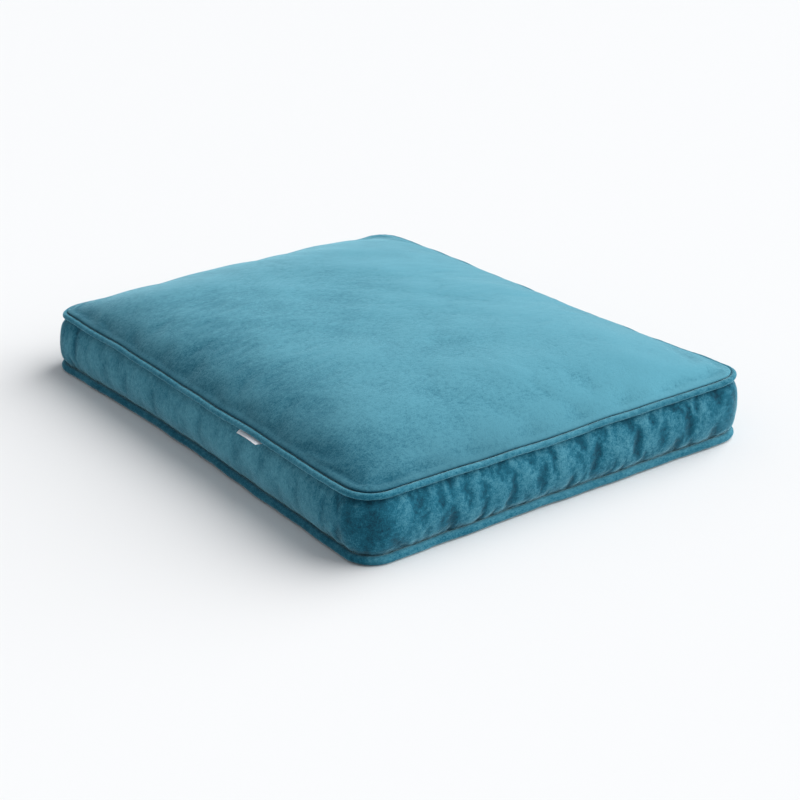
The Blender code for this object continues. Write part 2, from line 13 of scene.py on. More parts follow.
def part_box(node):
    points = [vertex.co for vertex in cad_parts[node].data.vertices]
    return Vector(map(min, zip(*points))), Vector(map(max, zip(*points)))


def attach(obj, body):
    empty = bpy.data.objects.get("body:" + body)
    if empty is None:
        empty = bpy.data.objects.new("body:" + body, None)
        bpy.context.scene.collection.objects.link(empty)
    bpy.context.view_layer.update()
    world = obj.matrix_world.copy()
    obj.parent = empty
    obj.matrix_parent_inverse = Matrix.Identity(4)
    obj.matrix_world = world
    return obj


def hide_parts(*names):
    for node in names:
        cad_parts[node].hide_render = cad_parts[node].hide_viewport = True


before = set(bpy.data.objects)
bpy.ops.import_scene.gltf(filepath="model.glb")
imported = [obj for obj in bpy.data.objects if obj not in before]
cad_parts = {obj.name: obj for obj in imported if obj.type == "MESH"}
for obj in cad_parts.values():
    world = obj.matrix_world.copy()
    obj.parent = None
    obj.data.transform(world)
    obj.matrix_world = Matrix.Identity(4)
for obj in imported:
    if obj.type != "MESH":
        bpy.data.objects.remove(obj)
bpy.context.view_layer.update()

bl_info = {
    "name": "Pet cushion bed",
    "version": (1, 0, 0),
    "blender": (4, 5, 0),
    "location": "View3D > Sidebar > Cushion",
    "description": "Builds a piped, zipped and padded cushion bed",
    "category": "Object",
}

# Places read from the frame, in metres

CORD_LOW, CORD_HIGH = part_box("top_piping_cord")
LOWER_CORD_LOW, LOWER_CORD_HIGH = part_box("bottom_piping_cord")
BORDER_LOW, BORDER_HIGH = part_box("zip_border_upper")
LABEL_LOW, LABEL_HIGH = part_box("side_label")

CORD_RADIUS = (CORD_HIGH.z - CORD_LOW.z) / 2
HALF_X = CORD_HIGH.x - CORD_RADIUS
HALF_Y = CORD_HIGH.y - CORD_RADIUS
PIPING_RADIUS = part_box("top_piping_sleeve")[1].x - HALF_X
TOP_SEAM = (CORD_LOW.z + CORD_HIGH.z) / 2
BOTTOM_SEAM = (LOWER_CORD_LOW.z + LOWER_CORD_HIGH.z) / 2
HEIGHT = TOP_SEAM - BOTTOM_SEAM
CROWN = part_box("top_panel")[1].z - TOP_SEAM
ZIP_END = BORDER_HIGH.x
ZIP_FOLDS = {"upper": BORDER_LOW.z, "lower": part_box("zip_border_lower")[1].z}

MAIN_BODY = "cushion"
TAIL = 0.0088  # how far the seam allowances reach in past the pipings' middle line
HAIR = 0.0001  # kept free where two pieces lie on each other


# Sizes and colours that a user would change


def length(name, description, default):
    return bpy.props.FloatProperty(
        name=name, description=description, default=default, min=0.0, unit="LENGTH", precision=4
    )


def colour(name, description, default):
    return bpy.props.FloatVectorProperty(
        name=name, description=description, default=default, size=3, min=0.0, max=1.0, subtype="COLOR"
    )


class CushionSizes(bpy.types.PropertyGroup):
    """Sizes of the cloth and how it hangs."""

    corner_radius: length("Corner radius", "Radius of the pipings' middle line at the corners", 0.032)
    crown_reach: length("Crown reach", "From the edge to where the top has risen by two thirds", 0.045)
    valley: length("Valley", "How deep the top dips beside its piping", 0.0015)
    valley_width: length("Valley width", "How far in that dip reaches", 0.010)
    cloth: length("Cloth", "Thickness of the suede", 0.0012)
    top_bow: length("Top bow", "How far the top piping bows in at the middle of a long side", 0.0020)
    bottom_bow: length("Bottom bow", "How far the bottom piping bows in there", 0.0034)
    top_piping: length("Top piping", "Half the thickness of the top piping", 0.0035)
    bottom_piping: length("Bottom piping", "Half the thickness of the bottom piping", 0.0046)
    corner_spread: length("Corner spread", "How far the front left corner spreads on the floor", 0.0070)
    seam_wave: length("Seam wave", "How far the pipings wander from their line", 0.0011)
    belly: length("Belly", "How far the border stands out past the pipings' middle line", 0.0052)
    stitch_pitch: length("Stitch pitch", "From one stitch to the next", 0.0034)
    coil_pitch: length("Coil pitch", "From one turn of the zip's coil to the next", 0.0016)


class CushionColours(bpy.types.PropertyGroup):
    """Colours of the materials."""

    suede: colour("Suede", "The nap where it lies flat", (0.013, 0.128, 0.196))
    # Painted light: the ramp reaches this colour on swells and lit slopes, and through the random mottling.
    suede_lit_and_mottled: colour("Raised nap", "The nap where it's brushed up", (0.112, 0.352, 0.448))
    # Painted shade: the ramp and the crease values reach this colour in folds, creases, beside seams and on
    # slopes facing away from the lamp; the random dark flecks use it too.
    suede_shade: colour("Crushed nap", "The nap in creases and beside seams", (0.008, 0.050, 0.080))
    label: colour("Label", "The blank satin label", (0.93, 0.93, 0.97))
    zip_cloth: colour("Zip tape", "The woven tape of the zip", (0.022, 0.115, 0.165))
    coil: colour("Coil", "The zip's nylon coil", (0.030, 0.150, 0.205))
    enamel: colour("Enamel", "The zip's slider, pull and stops", (0.050, 0.190, 0.250))
    liner: colour("Liner", "The insert's cloth", (0.72, 0.71, 0.68))
    foam: colour("Foam", "The foam slab", (0.83, 0.74, 0.46))
    wadding: colour("Wadding", "The polyester fibre", (0.82, 0.82, 0.80))
    cotton: colour("Cotton", "The pipings' cord", (0.66, 0.62, 0.52))
    floor: colour("Floor", "The studio floor and walls", (0.86, 0.86, 0.86))


def sizes():
    return bpy.context.scene.cushion_sizes


def colours():
    return bpy.context.scene.cushion_colours


def seam_level(at_top):
    return TOP_SEAM if at_top else BOTTOM_SEAM


def piping_radius(at_top):
    return sizes().top_piping if at_top else sizes().bottom_piping


def bell(values, width, power=2):
    """1 at zero, falling smoothly to 0 on both sides."""
    return np.exp(-((values / width) ** power))


def direction(angle):
    return np.array([math.cos(angle), math.sin(angle)])


# The outline in plan. Arc runs anticlockwise along the pipings' middle line.


def outline_length():
    radius = sizes().corner_radius
    return 4 * (HALF_X + HALF_Y - 2 * radius) + 2 * math.pi * radius


def outline_points(arc):
    """(x, y), the outward direction, and how far along its straight side each place is."""
    radius = sizes().corner_radius
    straights = (2 * (HALF_Y - radius), 2 * (HALF_X - radius)) * 2
    quarter = math.pi / 2 * radius
    arc = np.mod(np.asarray(arc, float), outline_length())
    place, outward = np.zeros((len(arc), 2)), np.zeros((len(arc), 2))
    along = np.full(len(arc), -1.0)
    start = 0.0
    for side, straight in enumerate(straights):
        turn = side * math.pi / 2
        normal = direction(turn)
        ahead = np.array([-normal[1], normal[0]])
        reach = HALF_X if side % 2 == 0 else HALF_Y
        here = (arc >= start) & (arc <= start + straight)
        run = (arc[here] - start - straight / 2)[:, None]
        place[here] = normal * reach + ahead * run
        outward[here] = normal
        along[here] = (arc[here] - start) / straight
        start += straight
        here = (arc > start) & (arc < start + quarter)
        angle = turn + (arc[here] - start) / radius
        middle = normal * (reach - radius) + ahead * straight / 2
        outward[here] = np.stack([np.cos(angle), np.sin(angle)], 1)
        place[here] = middle + outward[here] * radius
        start += quarter
    return place, outward, along


def outline_of(places):
    """For places in plan: depth inside the outline, outward direction, and arc of the nearest point."""
    radius = sizes().corner_radius
    x, y = places[:, 0], places[:, 1]
    core_x, core_y = HALF_X - radius, HALF_Y - radius
    over_x, over_y = np.maximum(np.abs(x) - core_x, 0), np.maximum(np.abs(y) - core_y, 0)
    reach = np.hypot(over_x, over_y)
    gap_x, gap_y = HALF_X - np.abs(x), HALF_Y - np.abs(y)
    cornered = (over_x > 0) & (over_y > 0)
    depth = np.where(cornered, radius - reach, np.minimum(gap_x, gap_y))
    safe = np.maximum(reach, 1e-9)
    flat_x = (gap_x < gap_y).astype(float)
    normal_x = np.where(cornered, over_x / safe, flat_x) * np.sign(np.where(x == 0, 1, x))
    normal_y = np.where(cornered, over_y / safe, 1 - flat_x) * np.sign(np.where(y == 0, 1, y))
    normal = np.stack([normal_x, normal_y], 1)

    angle = np.mod(np.arctan2(normal_y, normal_x) + 1e-9, 2 * math.pi)
    side = np.floor(angle / (math.pi / 2) + 1e-6).astype(int) % 4
    turned = angle - side * math.pi / 2
    straights = np.array((2 * core_y, 2 * core_x) * 2)
    starts = np.concatenate([[0], np.cumsum(straights + math.pi / 2 * radius)])[:4]
    ahead = np.stack([-np.sin(side * math.pi / 2), np.cos(side * math.pi / 2)], 1)
    run = np.clip((places * ahead).sum(1), -straights[side] / 2, straights[side] / 2)
    arc = starts[side] + straights[side] / 2 + run
    arc = np.where(cornered, starts[side] + straights[side] + turned * radius, arc)
    return depth, normal, arc


def wander(arc, seed, amplitude, waves=(5, 9, 14, 23, 37)):
    """A smooth closed wave round the outline, as large as the amplitude at most times."""
    chance = np.random.default_rng(seed)
    total = np.zeros(len(arc))
    for wave in waves:
        phase, weight = chance.uniform(0, 2 * math.pi), chance.uniform(0.5, 1.0) * (5 / wave) ** 0.35
        total += weight * np.sin(2 * math.pi * wave * arc / outline_length() + phase)
    return amplitude * total / math.sqrt(len(waves) / 2)


SHORT_SIDE_BOW = 0.55  # of the long sides' bow
SPREAD_REACH = 0.16  # along the outline, of the corner that spreads on the floor


def seam_shift(arc, at_top):
    """(out, up) by which a piping wanders from its level outline."""
    size = sizes()
    _, outward, along = outline_points(arc)
    swell = np.where(along >= 0, np.sin(math.pi * np.clip(along, 0, 1)), 0)
    short_side = np.abs(outward[:, 0]) > 0.5
    bow = (size.top_bow if at_top else size.bottom_bow) * np.where(short_side, SHORT_SIDE_BOW, 1.0)
    seed = 11 if at_top else 23
    out = -bow * swell + wander(arc, seed, size.seam_wave)
    if at_top:
        return out, wander(arc, seed + 1, size.seam_wave) - 0.0008 * swell
    corner = outline_of(np.array([(-HALF_X, -HALF_Y)]))[2][0]
    half = outline_length() / 2
    apart = np.mod(arc - corner + half, outline_length()) - half
    out = out + size.corner_spread * bell(apart, SPREAD_REACH)
    return out, 0.0009 * swell + np.abs(wander(arc, seed + 1, size.seam_wave * 0.5))


def seam_line(count, at_top):
    """Points along a piping's middle, at even steps."""
    arc = np.linspace(0, outline_length(), count, endpoint=False)
    place, outward, _ = outline_points(arc)
    shift_out, shift_up = seam_shift(arc, at_top)
    return np.column_stack([place + outward * shift_out[:, None], seam_level(at_top) + shift_up])


# Meshes and objects


def mesh_of(name, points, faces):
    mesh = bpy.data.meshes.new(name)
    mesh.from_pydata([tuple(p) for p in points], [], [tuple(f) for f in faces])
    mesh.update()
    return mesh


def quads(columns, rows):
    """The faces of a grid of points, stored column by column."""
    return [
        (c * rows + r, (c + 1) * rows + r, (c + 1) * rows + r + 1, c * rows + r + 1)
        for c in range(columns - 1) for r in range(rows - 1)
    ]


def turned_over(faces):
    return [face[::-1] for face in faces]


def new_object(name, data):
    made = bpy.data.objects.new(name, data)
    bpy.context.scene.collection.objects.link(made)
    return made


def finished(piece, slot_name, *nodes, material=None):
    """Smooth shading, material, body and the nodes that the piece stands for. The slot name is not used."""
    piece.data.shade_smooth()
    if material:
        piece.data.materials.clear()
        piece.data.materials.append(material)
    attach(piece, MAIN_BODY)
    if nodes:
        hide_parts(*nodes)


def evaluated_mesh(thing):
    bpy.context.view_layer.update()
    graph = bpy.context.evaluated_depsgraph_get()
    return bpy.data.meshes.new_from_object(thing.evaluated_get(graph))


def apply(thing):
    """Takes the modifiers' result as the object's mesh and removes them."""
    mesh = evaluated_mesh(thing)
    thing.modifiers.clear()
    thing.data = mesh


def positions(mesh):
    flat = np.empty(len(mesh.vertices) * 3)
    mesh.vertices.foreach_get("co", flat)
    return flat.reshape(-1, 3)


def set_positions(mesh, points):
    mesh.vertices.foreach_set("co", np.asarray(points, np.float32).ravel())
    mesh.update()


def store(mesh, name, values):
    attribute = mesh.attributes.get(name) or mesh.attributes.new(name, "FLOAT", "POINT")
    attribute.data.foreach_set("value", np.asarray(values, np.float32))


def thicken(piece, thickness, levels=1):
    """Subdivides for the cloth's curves, then gives it its thickness, half to each side."""
    if levels:
        smooth = piece.modifiers.new("smooth", "SUBSURF")
        smooth.levels = smooth.render_levels = levels
    shell = piece.modifiers.new("thickness", "SOLIDIFY")
    shell.thickness = thickness
    shell.offset = 0
    apply(piece)


def in_suede(piece, painted_lighting, crease, node):
    """Finishes a suede piece from its middle surface and its painted light and painted shade."""
    # The first values are painted light (positive) and painted shade (negative); the crease values are
    # painted shade.
    store(piece.data, "painted_lighting", painted_lighting.ravel())
    store(piece.data, "crease", crease.ravel())
    thicken(piece, sizes().cloth)
    finished(piece, "suede", node, material=suede())


CLOTH_FRAMES = 20


def inflate(piece, pinned, soft_goal, slack, pressure, cap, bending):
    """Lets cloth with some slack swell between its pinned seams, and caps how far it moves."""
    start = positions(piece.data)
    group = piece.vertex_groups.new(name="pins")
    weights = np.round(np.maximum(pinned.astype(float), soft_goal), 2)
    for weight in np.unique(weights[weights > 0]):
        group.add(np.nonzero(weights == weight)[0].tolist(), float(weight), "REPLACE")
    cloth = piece.modifiers.new("cloth", "CLOTH")
    setup = cloth.settings
    setup.quality = 7
    setup.mass = 0.25
    setup.tension_stiffness = setup.compression_stiffness = 18
    setup.shear_stiffness = 6
    setup.bending_stiffness = bending
    setup.air_damping = 2.0
    setup.use_pressure = True
    setup.uniform_pressure_force = pressure
    setup.shrink_min = -slack
    setup.vertex_group_mass = "pins"
    setup.pin_stiffness = 1.2
    setup.effector_weights.gravity = 0
    cloth.collision_settings.use_collision = False
    cloth.point_cache.frame_start, cloth.point_cache.frame_end = 1, CLOTH_FRAMES
    scene = bpy.context.scene
    for number in range(CLOTH_FRAMES):
        scene.frame_set(number + 1)
    moved = positions(evaluated_mesh(piece))
    piece.modifiers.remove(cloth)
    piece.vertex_groups.remove(group)
    scene.frame_set(1)
    travel = moved - start
    far = np.linalg.norm(travel, axis=1, keepdims=True)
    travel *= cap * np.tanh(far / cap) / np.maximum(far, 1e-9)
    set_positions(piece.data, start + travel)


def resampled(points, count):
    """The run through chosen points, at even steps of its length."""
    points = np.asarray(points, float)
    lengths = np.concatenate([[0], np.cumsum(np.linalg.norm(np.diff(points, axis=0), axis=1))])
    steps = np.linspace(0, lengths[-1], count)
    return np.stack([np.interp(steps, lengths, points[:, axis]) for axis in range(2)], 1)


def rounded_off(points, rounds=2):
    """Chosen points with their corners cut, which leaves the two ends in place."""
    points = np.asarray(points, float)
    for _ in range(rounds):
        near, far = points[:-1] * 0.75 + points[1:] * 0.25, points[:-1] * 0.25 + points[1:] * 0.75
        points = np.concatenate([points[:1], np.stack([near, far], 1).reshape(-1, 2), points[-1:]])
    return points


# Node trees and materials


class Graph:
    """A node tree under way, with short ways to add nodes to it."""

    def __init__(self, tree):
        self.nodes, self.links = tree.nodes, tree.links

    def feed(self, socket, value):
        if hasattr(value, "links"):
            self.links.new(value, socket)
        else:
            socket.default_value = value

    def node(self, kind, settings=(), **inputs):
        made = self.nodes.new(kind)
        for name, value in dict(settings).items():
            setattr(made, name, value)
        for name, value in inputs.items():
            self.feed(made.inputs[name.replace("_", " ")], value)
        return made

    def first(self, kind, settings=(), **inputs):
        """A new node's first output."""
        return self.node(kind, settings, **inputs).outputs[0]

    def maths(self, operation, *terms):
        made = self.node("ShaderNodeMath", {"operation": operation})
        for socket, term in zip(made.inputs, terms):
            self.feed(socket, term)
        return made.outputs[0]


class Shader(Graph):
    """A new material, with its surface and the object's own coordinates at hand."""

    def __init__(self, name):
        self.material = bpy.data.materials.new(name)
        self.material.use_nodes = True
        super().__init__(self.material.node_tree)
        self.surface = self.nodes["Principled BSDF"]
        self.place = self.node("ShaderNodeTexCoord").outputs["Object"]

    def noise(self, scale, detail, roughness, distortion=0.0, stretch=None):
        """Noise over the object's place, which may be scaled along each axis."""
        place = self.place
        if stretch:
            place = self.first("ShaderNodeMapping", Vector=place, Scale=stretch)
        made = self.node(
            "ShaderNodeTexNoise", Vector=place, Scale=scale, Detail=detail,
            Roughness=roughness, Distortion=distortion,
        )
        return made.outputs["Fac"]

    def ranged(self, value, low, high, to_low=0.0, to_high=1.0):
        return self.first(
            "ShaderNodeMapRange", Value=value, From_Min=low, From_Max=high, To_Min=to_low, To_Max=to_high,
        )

    def attribute(self, name):
        return self.node("ShaderNodeAttribute", {"attribute_name": name}).outputs["Fac"]

    def mixed(self, share_of_second, first, second):
        """Two colours mixed, each of them a link or three numbers."""
        made = self.node("ShaderNodeMix", {"data_type": "RGBA"}, Factor=share_of_second)
        for socket, value in ((made.inputs[6], first), (made.inputs[7], second)):
            self.feed(socket, value if hasattr(value, "links") else (*value, 1.0))
        return made.outputs[2]

    def ramp(self, value, *stops):
        made = self.node("ShaderNodeValToRGB", Fac=value)
        band = made.color_ramp
        while len(band.elements) < len(stops):
            band.elements.new(0.5)
        for element, (place, tint) in zip(band.elements, stops):
            element.position = place
            element.color = (*tint, 1.0)
        return made.outputs["Color"]

    def bump(self, height, distance, strength, **below):
        return self.first("ShaderNodeBump", Height=height, Distance=distance, Strength=strength, **below)

    def painted(self, **values):
        """Sets or links the surface's inputs by name."""
        for name, value in values.items():
            self.feed(self.surface.inputs[name.replace("_", " ")], value)
        return self.material


def shaded(tint, by):
    """A colour made darker or lighter."""
    return tuple(min(v * by, 1.0) for v in tint)


def suede(name="brushed_suede"):
    """Short brushed nap: cloudy patches, fine speckle and streaks, with painted light and painted shade
    read from two mesh attributes, the painted shade darkest in the creases and beside seams.
    """
    made = bpy.data.materials.get(name)
    if made:
        return made
    paint, tint = Shader(name), colours()
    clouds = paint.noise(9.0, 3.0, 0.55, 0.4)
    patches = paint.noise(42.0, 4.0, 0.6, 0.6)
    mottle = paint.noise(210.0, 4.0, 0.68, 0.5)
    streaks = paint.noise(1.0, 3.0, 0.6, stretch=(420.0, 130.0, 260.0))
    fibres = paint.noise(760.0, 3.0, 0.7)
    # The ramp runs from painted shade to painted light: the mesh's painted light values plus random
    # mottling.
    raised = paint.maths("ADD", paint.attribute("painted_lighting"), 0.17)
    for layer, low, high, weight in (
        (clouds, 0.32, 0.68, 0.15), (patches, 0.30, 0.70, 0.14), (mottle, 0.36, 0.64, 0.21),
        (streaks, 0.40, 0.60, 0.12), (fibres, 0.40, 0.60, 0.27),
    ):
        part = paint.maths("MULTIPLY", paint.ranged(layer, low, high), weight)
        raised = paint.maths("ADD", part, raised)
    body = paint.ramp(raised, (0.0, tint.suede_shade), (0.38, tint.suede), (1.0, tint.suede_lit_and_mottled))
    flecks = paint.maths("MULTIPLY", paint.ranged(fibres, 0.58, 0.68), 0.28)
    # The flecks are random dark fibres; the crease values mix in painted shade.
    for darker in (flecks, paint.attribute("crease")):
        body = paint.mixed(darker, body, tint.suede_shade)
    fine, coarse = paint.maths("MULTIPLY", fibres, 0.5), paint.maths("MULTIPLY", mottle, 0.8)
    normal = paint.bump(paint.maths("ADD", fine, coarse), 0.0010, 0.6)
    return paint.painted(
        Base_Color=body, Roughness=paint.ranged(patches, 0.2, 0.8, 0.80, 0.95),
        Normal=paint.bump(patches, 0.0012, 0.30, Normal=normal), Specular_IOR_Level=0.06,
        Sheen_Weight=1.0, Sheen_Roughness=0.30, Sheen_Tint=(0.44, 0.86, 1.0, 1.0),
    )


def woven(name, tint, pitch, shade=0.55):
    """A plain weave: crossing threads with painted shade on the lower ones, and darker slubs at random."""
    paint = Shader(name)
    turns = 2 * math.pi / pitch
    split = paint.node("ShaderNodeSeparateXYZ", Vector=paint.place).outputs
    warp = paint.maths("SINE", paint.maths("MULTIPLY", split["X"], turns))
    risen = paint.maths("ADD", split["Y"], split["Z"])
    weft = paint.maths("SINE", paint.maths("MULTIPLY", risen, turns))
    weave = paint.ranged(paint.maths("MULTIPLY", warp, weft), -1.0, 1.0)
    slubs = paint.noise(1.0, 2.0, 0.6, stretch=(60.0, 900.0, 900.0))
    dark = shaded(tint, shade)
    # The weave's lower threads get painted shade; the slubs are random darker yarn.
    body = paint.mixed(paint.maths("MULTIPLY", slubs, 0.35), paint.mixed(weave, dark, tint), dark)
    return paint.painted(
        Base_Color=body, Roughness=paint.ranged(slubs, 0.3, 0.7, 0.75, 0.95),
        Normal=paint.bump(weave, pitch * 0.25, 0.8),
        Sheen_Weight=0.2, Sheen_Roughness=0.5, Specular_IOR_Level=0.2,
    )


def satin():
    """Smooth blank satin with fine cross threads and faint clouds."""
    paint, tint = Shader("label_satin_weave"), colours().label
    ribs = paint.node(
        "ShaderNodeTexWave", {"bands_direction": "X"}, Vector=paint.place, Scale=900.0, Distortion=0.4,
    )
    cloud = paint.noise(140.0, 3.0, 0.6)
    return paint.painted(
        Base_Color=paint.mixed(paint.ranged(cloud, 0.35, 0.7, 0.0, 0.4), tint, shaded(tint, 0.9)),
        Roughness=paint.ranged(cloud, 0.2, 0.8, 0.34, 0.5),
        Normal=paint.bump(ribs.outputs["Fac"], 0.00015, 0.4),
        Anisotropic=0.4, Sheen_Weight=0.6, Specular_IOR_Level=0.5,
    )


def nylon():
    """Moulded nylon thread, slightly glossy, duller where the slider rubs."""
    paint, tint = Shader("coil_nylon"), colours().coil
    rubbed = paint.noise(700.0, 2.0, 0.6)
    return paint.painted(
        Base_Color=paint.mixed(paint.ranged(rubbed, 0.45, 0.75, 0.0, 0.5), tint, shaded(tint, 1.9)),
        Roughness=paint.ranged(rubbed, 0.3, 0.7, 0.32, 0.55),
        Normal=paint.bump(rubbed, 0.00005, 0.3), Specular_IOR_Level=0.5,
    )


def enamelled():
    """Painted zinc casting: slight orange peel, with bare metal worn through here and there."""
    paint = Shader("enamelled_metal")
    peel = paint.noise(2600.0, 1.0, 0.4)
    worn = paint.ranged(paint.noise(520.0, 4.0, 0.7), 0.66, 0.72)
    return paint.painted(
        Base_Color=paint.mixed(worn, colours().enamel, (0.55, 0.54, 0.52)), Metallic=worn,
        Roughness=paint.ranged(peel, 0.3, 0.7, 0.26, 0.40),
        Normal=paint.bump(peel, 0.00006, 0.35), Coat_Weight=0.25, Coat_Roughness=0.12,
    )


def thread():
    """Spun polyester thread, a shade lighter than the suede."""
    paint, tint = Shader("sewing_thread"), colours().suede_lit_and_mottled
    spun = paint.noise(1.0, 2.0, 0.6, stretch=(2200.0, 5200.0, 5200.0))
    return paint.painted(
        Base_Color=paint.mixed(spun, shaded(tint, 0.55), tint),
        Roughness=paint.ranged(spun, 0.3, 0.7, 0.55, 0.8),
        Normal=paint.bump(spun, 0.0001, 0.5), Sheen_Weight=0.3, Specular_IOR_Level=0.3,
    )


def fibrous(name, tint, scale, depth):
    """Matted fibre: tangled threads, loose clouds and soft hollows."""
    paint = Shader(name)
    strands = paint.noise(scale * 9, 4.0, 0.75, 1.6)
    clumps = paint.noise(scale, 3.0, 0.6, 0.5)
    body = paint.mixed(paint.ranged(clumps, 0.3, 0.75, 0.0, 0.7), tint, shaded(tint, 0.72))
    body = paint.mixed(paint.ranged(strands, 0.52, 0.7, 0.0, 0.5), body, shaded(tint, 1.15))
    fine = paint.bump(strands, depth * 0.25, 0.7)
    return paint.painted(
        Base_Color=body, Roughness=paint.ranged(strands, 0.2, 0.8, 0.80, 0.95),
        Normal=paint.bump(clumps, depth, 0.6, Normal=fine), Sheen_Weight=0.35, Specular_IOR_Level=0.15,
    )


def cellular():
    """Cut open-cell foam: small pits with painted shade in them, and yellowed clouds."""
    paint, tint = Shader("open_cell_foam"), colours().foam
    cells = paint.node("ShaderNodeTexVoronoi", Vector=paint.place, Scale=620.0).outputs["Distance"]
    clouds = paint.noise(14.0, 3.0, 0.6)
    yellowed = (tint[0] * 0.9, tint[1] * 0.82, tint[2] * 0.66)
    body = paint.mixed(paint.ranged(clouds, 0.3, 0.75), tint, yellowed)
    # Painted shade in the cells' pits.
    body = paint.mixed(paint.ranged(cells, 0.0, 0.35, 0.6, 0.0), body, shaded(tint, 0.5))
    return paint.painted(
        Base_Color=body, Roughness=paint.ranged(clouds, 0.2, 0.8, 0.85, 0.97),
        Normal=paint.bump(cells, 0.0006, 0.8), Specular_IOR_Level=0.15,
    )


# The stage


class CUSHION_OT_stage(bpy.types.Operator):
    """Make the floor, the soft lights and the camera"""

    bl_idname = "cushion.stage"
    bl_label = "Stage"

    CAMERA_AZIMUTH, CAMERA_ELEVATION, CAMERA_ROLL = 55.756, 22.831, -1.797
    CAMERA_DISTANCE, CAMERA_LENS, CAMERA_SENSOR = 1.9404, 73.61, 36.0
    CAMERA_TARGET = Vector((0.10416, -0.03992, 0.04167))
    FLOOR_HALF = 30.0
    LAMP_AZIMUTH, LAMP_ELEVATION, LAMP_STRENGTH, LAMP_SPREAD = 70, 35, 4.0, 80
    SKY, SKY_STRENGTH = (0.93, 0.96, 1.0, 1.0), 0.42

    def camera(self):
        angles = self.CAMERA_AZIMUTH, self.CAMERA_ELEVATION, self.CAMERA_ROLL
        turn, tilt, roll = (math.radians(v) for v in angles)
        back = Vector((math.sin(turn) * math.cos(tilt), -math.cos(turn) * math.cos(tilt), math.sin(tilt)))
        level = Vector((math.cos(turn), math.sin(turn), 0))
        upright = back.cross(level)
        right = level * math.cos(roll) + upright * math.sin(roll)
        up = upright * math.cos(roll) - level * math.sin(roll)
        eye = new_object("camera", bpy.data.cameras.new("camera"))
        eye.data.lens, eye.data.sensor_width = self.CAMERA_LENS, self.CAMERA_SENSOR
        place = self.CAMERA_TARGET + back * self.CAMERA_DISTANCE
        eye.matrix_world = Matrix.Translation(place) @ Matrix((right, up, back)).transposed().to_4x4()
        bpy.context.scene.camera = eye

    def softbox(self):
        """A broad, distant light: its azimuth turns from +X towards +Y."""
        lamp = new_object("back_softbox", bpy.data.lights.new("back_softbox", "SUN"))
        lamp.data.energy, lamp.data.angle = self.LAMP_STRENGTH, math.radians(self.LAMP_SPREAD)
        turn, tilt = math.radians(self.LAMP_AZIMUTH), math.radians(self.LAMP_ELEVATION)
        flat = math.cos(tilt)
        lamp.location = 3 * Vector((math.cos(turn) * flat, math.sin(turn) * flat, math.sin(tilt)))
        lamp.rotation_euler = (-lamp.location).to_track_quat("-Z", "Y").to_euler()

    def execute(self, context):
        self.camera()
        self.softbox()
        world = bpy.data.worlds.new("studio")
        world.use_nodes = True
        sky = world.node_tree.nodes["Background"].inputs
        sky["Color"].default_value, sky["Strength"].default_value = self.SKY, self.SKY_STRENGTH
        context.scene.world = world
        context.scene.view_settings.view_transform = "Standard"
        half = self.FLOOR_HALF
        corners = [(-half, -half, 0), (half, -half, 0), (half, half, 0), (-half, half, 0)]
        floor = new_object("floor", mesh_of("floor", corners, [(0, 1, 2, 3)]))
        paint = Shader("studio_floor")
        grey = (*colours().floor, 1.0)
        floor.data.materials.append(paint.painted(Base_Color=grey, Roughness=0.9, Specular_IOR_Level=0.1))
        return {"FINISHED"}


# The cover's panels


def grid_steps(half, fine, fine_count, coarse):
    """Distances from the middle to the edge, fine near the edge, mirrored about zero."""
    edge = [half - fine * step for step in range(fine_count + 1)]
    inner = edge[-1]
    count = max(round(inner / coarse), 1)
    inside = [inner * step / count for step in range(count)]
    positive = inside + edge[::-1]
    return np.array([-v for v in positive[:0:-1]] + positive)


def rounded_grid(fine, fine_count, coarse, inset=0.0):
    """A grid over the outline in plan, its corner blocks bent round the outline's corners."""
    radius = sizes().corner_radius - inset
    half_x, half_y = HALF_X - inset, HALF_Y - inset
    xs, ys = (grid_steps(half, fine, fine_count, coarse) for half in (half_x, half_y))
    x, y = (v.ravel() for v in np.meshgrid(xs, ys, indexing="ij"))
    across = (np.abs(x) - (half_x - radius)) / radius
    up = (np.abs(y) - (half_y - radius)) / radius
    cornered = (across > 0) & (up > 0)
    largest = np.maximum(np.maximum(across, up), 1e-9)
    angle = np.where(across >= up, up / largest * math.pi / 4, math.pi / 2 - across / largest * math.pi / 4)
    bent_x = half_x - radius + radius * largest * np.cos(angle)
    bent_y = half_y - radius + radius * largest * np.sin(angle)
    x = np.where(cornered, np.sign(x) * bent_x, x)
    y = np.where(cornered, np.sign(y) * bent_y, y)
    return np.stack([x, y], 1), quads(len(xs), len(ys))


SOFTER_EDGE = 0.55  # how much slower the crown rises from the left and back edges


def crown_height(places, height):
    """The padding's even rise from every edge."""
    reach = sizes().crown_reach
    total = np.full(len(places), float(height))
    for axis, half, softer_side in ((0, HALF_X, -1), (1, HALF_Y, 1)):
        along = places[:, axis]
        middle = half - PIPING_RADIUS
        inside = np.maximum(middle - np.abs(along), 0)
        here = reach * (1 + SOFTER_EDGE * np.clip(softer_side * along / half, 0, 1))
        total *= (1 - np.exp(-inside / here)) / (1 - math.exp(-middle / reach))
    return total


# Where the cloth's middle runs at a panel's rim: (depth in the flat grid, outwards, up from the seam)
TOP_LIP = (
    (0.0, -TAIL, 0.0020), (0.0018, -0.0066, 0.0020), (0.0036, -0.0048, 0.0023),
    (0.0054, -0.0037, 0.0033), (0.0072, -0.0044, 0.0049), (0.0090, -0.0066, 0.0057),
)
BOTTOM_LIP = (
    (0.0, -TAIL, -0.0019), (0.0018, -0.0072, -0.0020), (0.0036, -0.0064, -0.0024),
    (0.0054, -0.0066, -0.0036), (0.0072, -0.0080, -0.0040), (0.0090, -0.0096, -0.0041),
)
RIM_STEP = 0.0018  # between the lips' points
SEAM_PULL = 0.030  # how far into a panel its seam's wandering can be felt


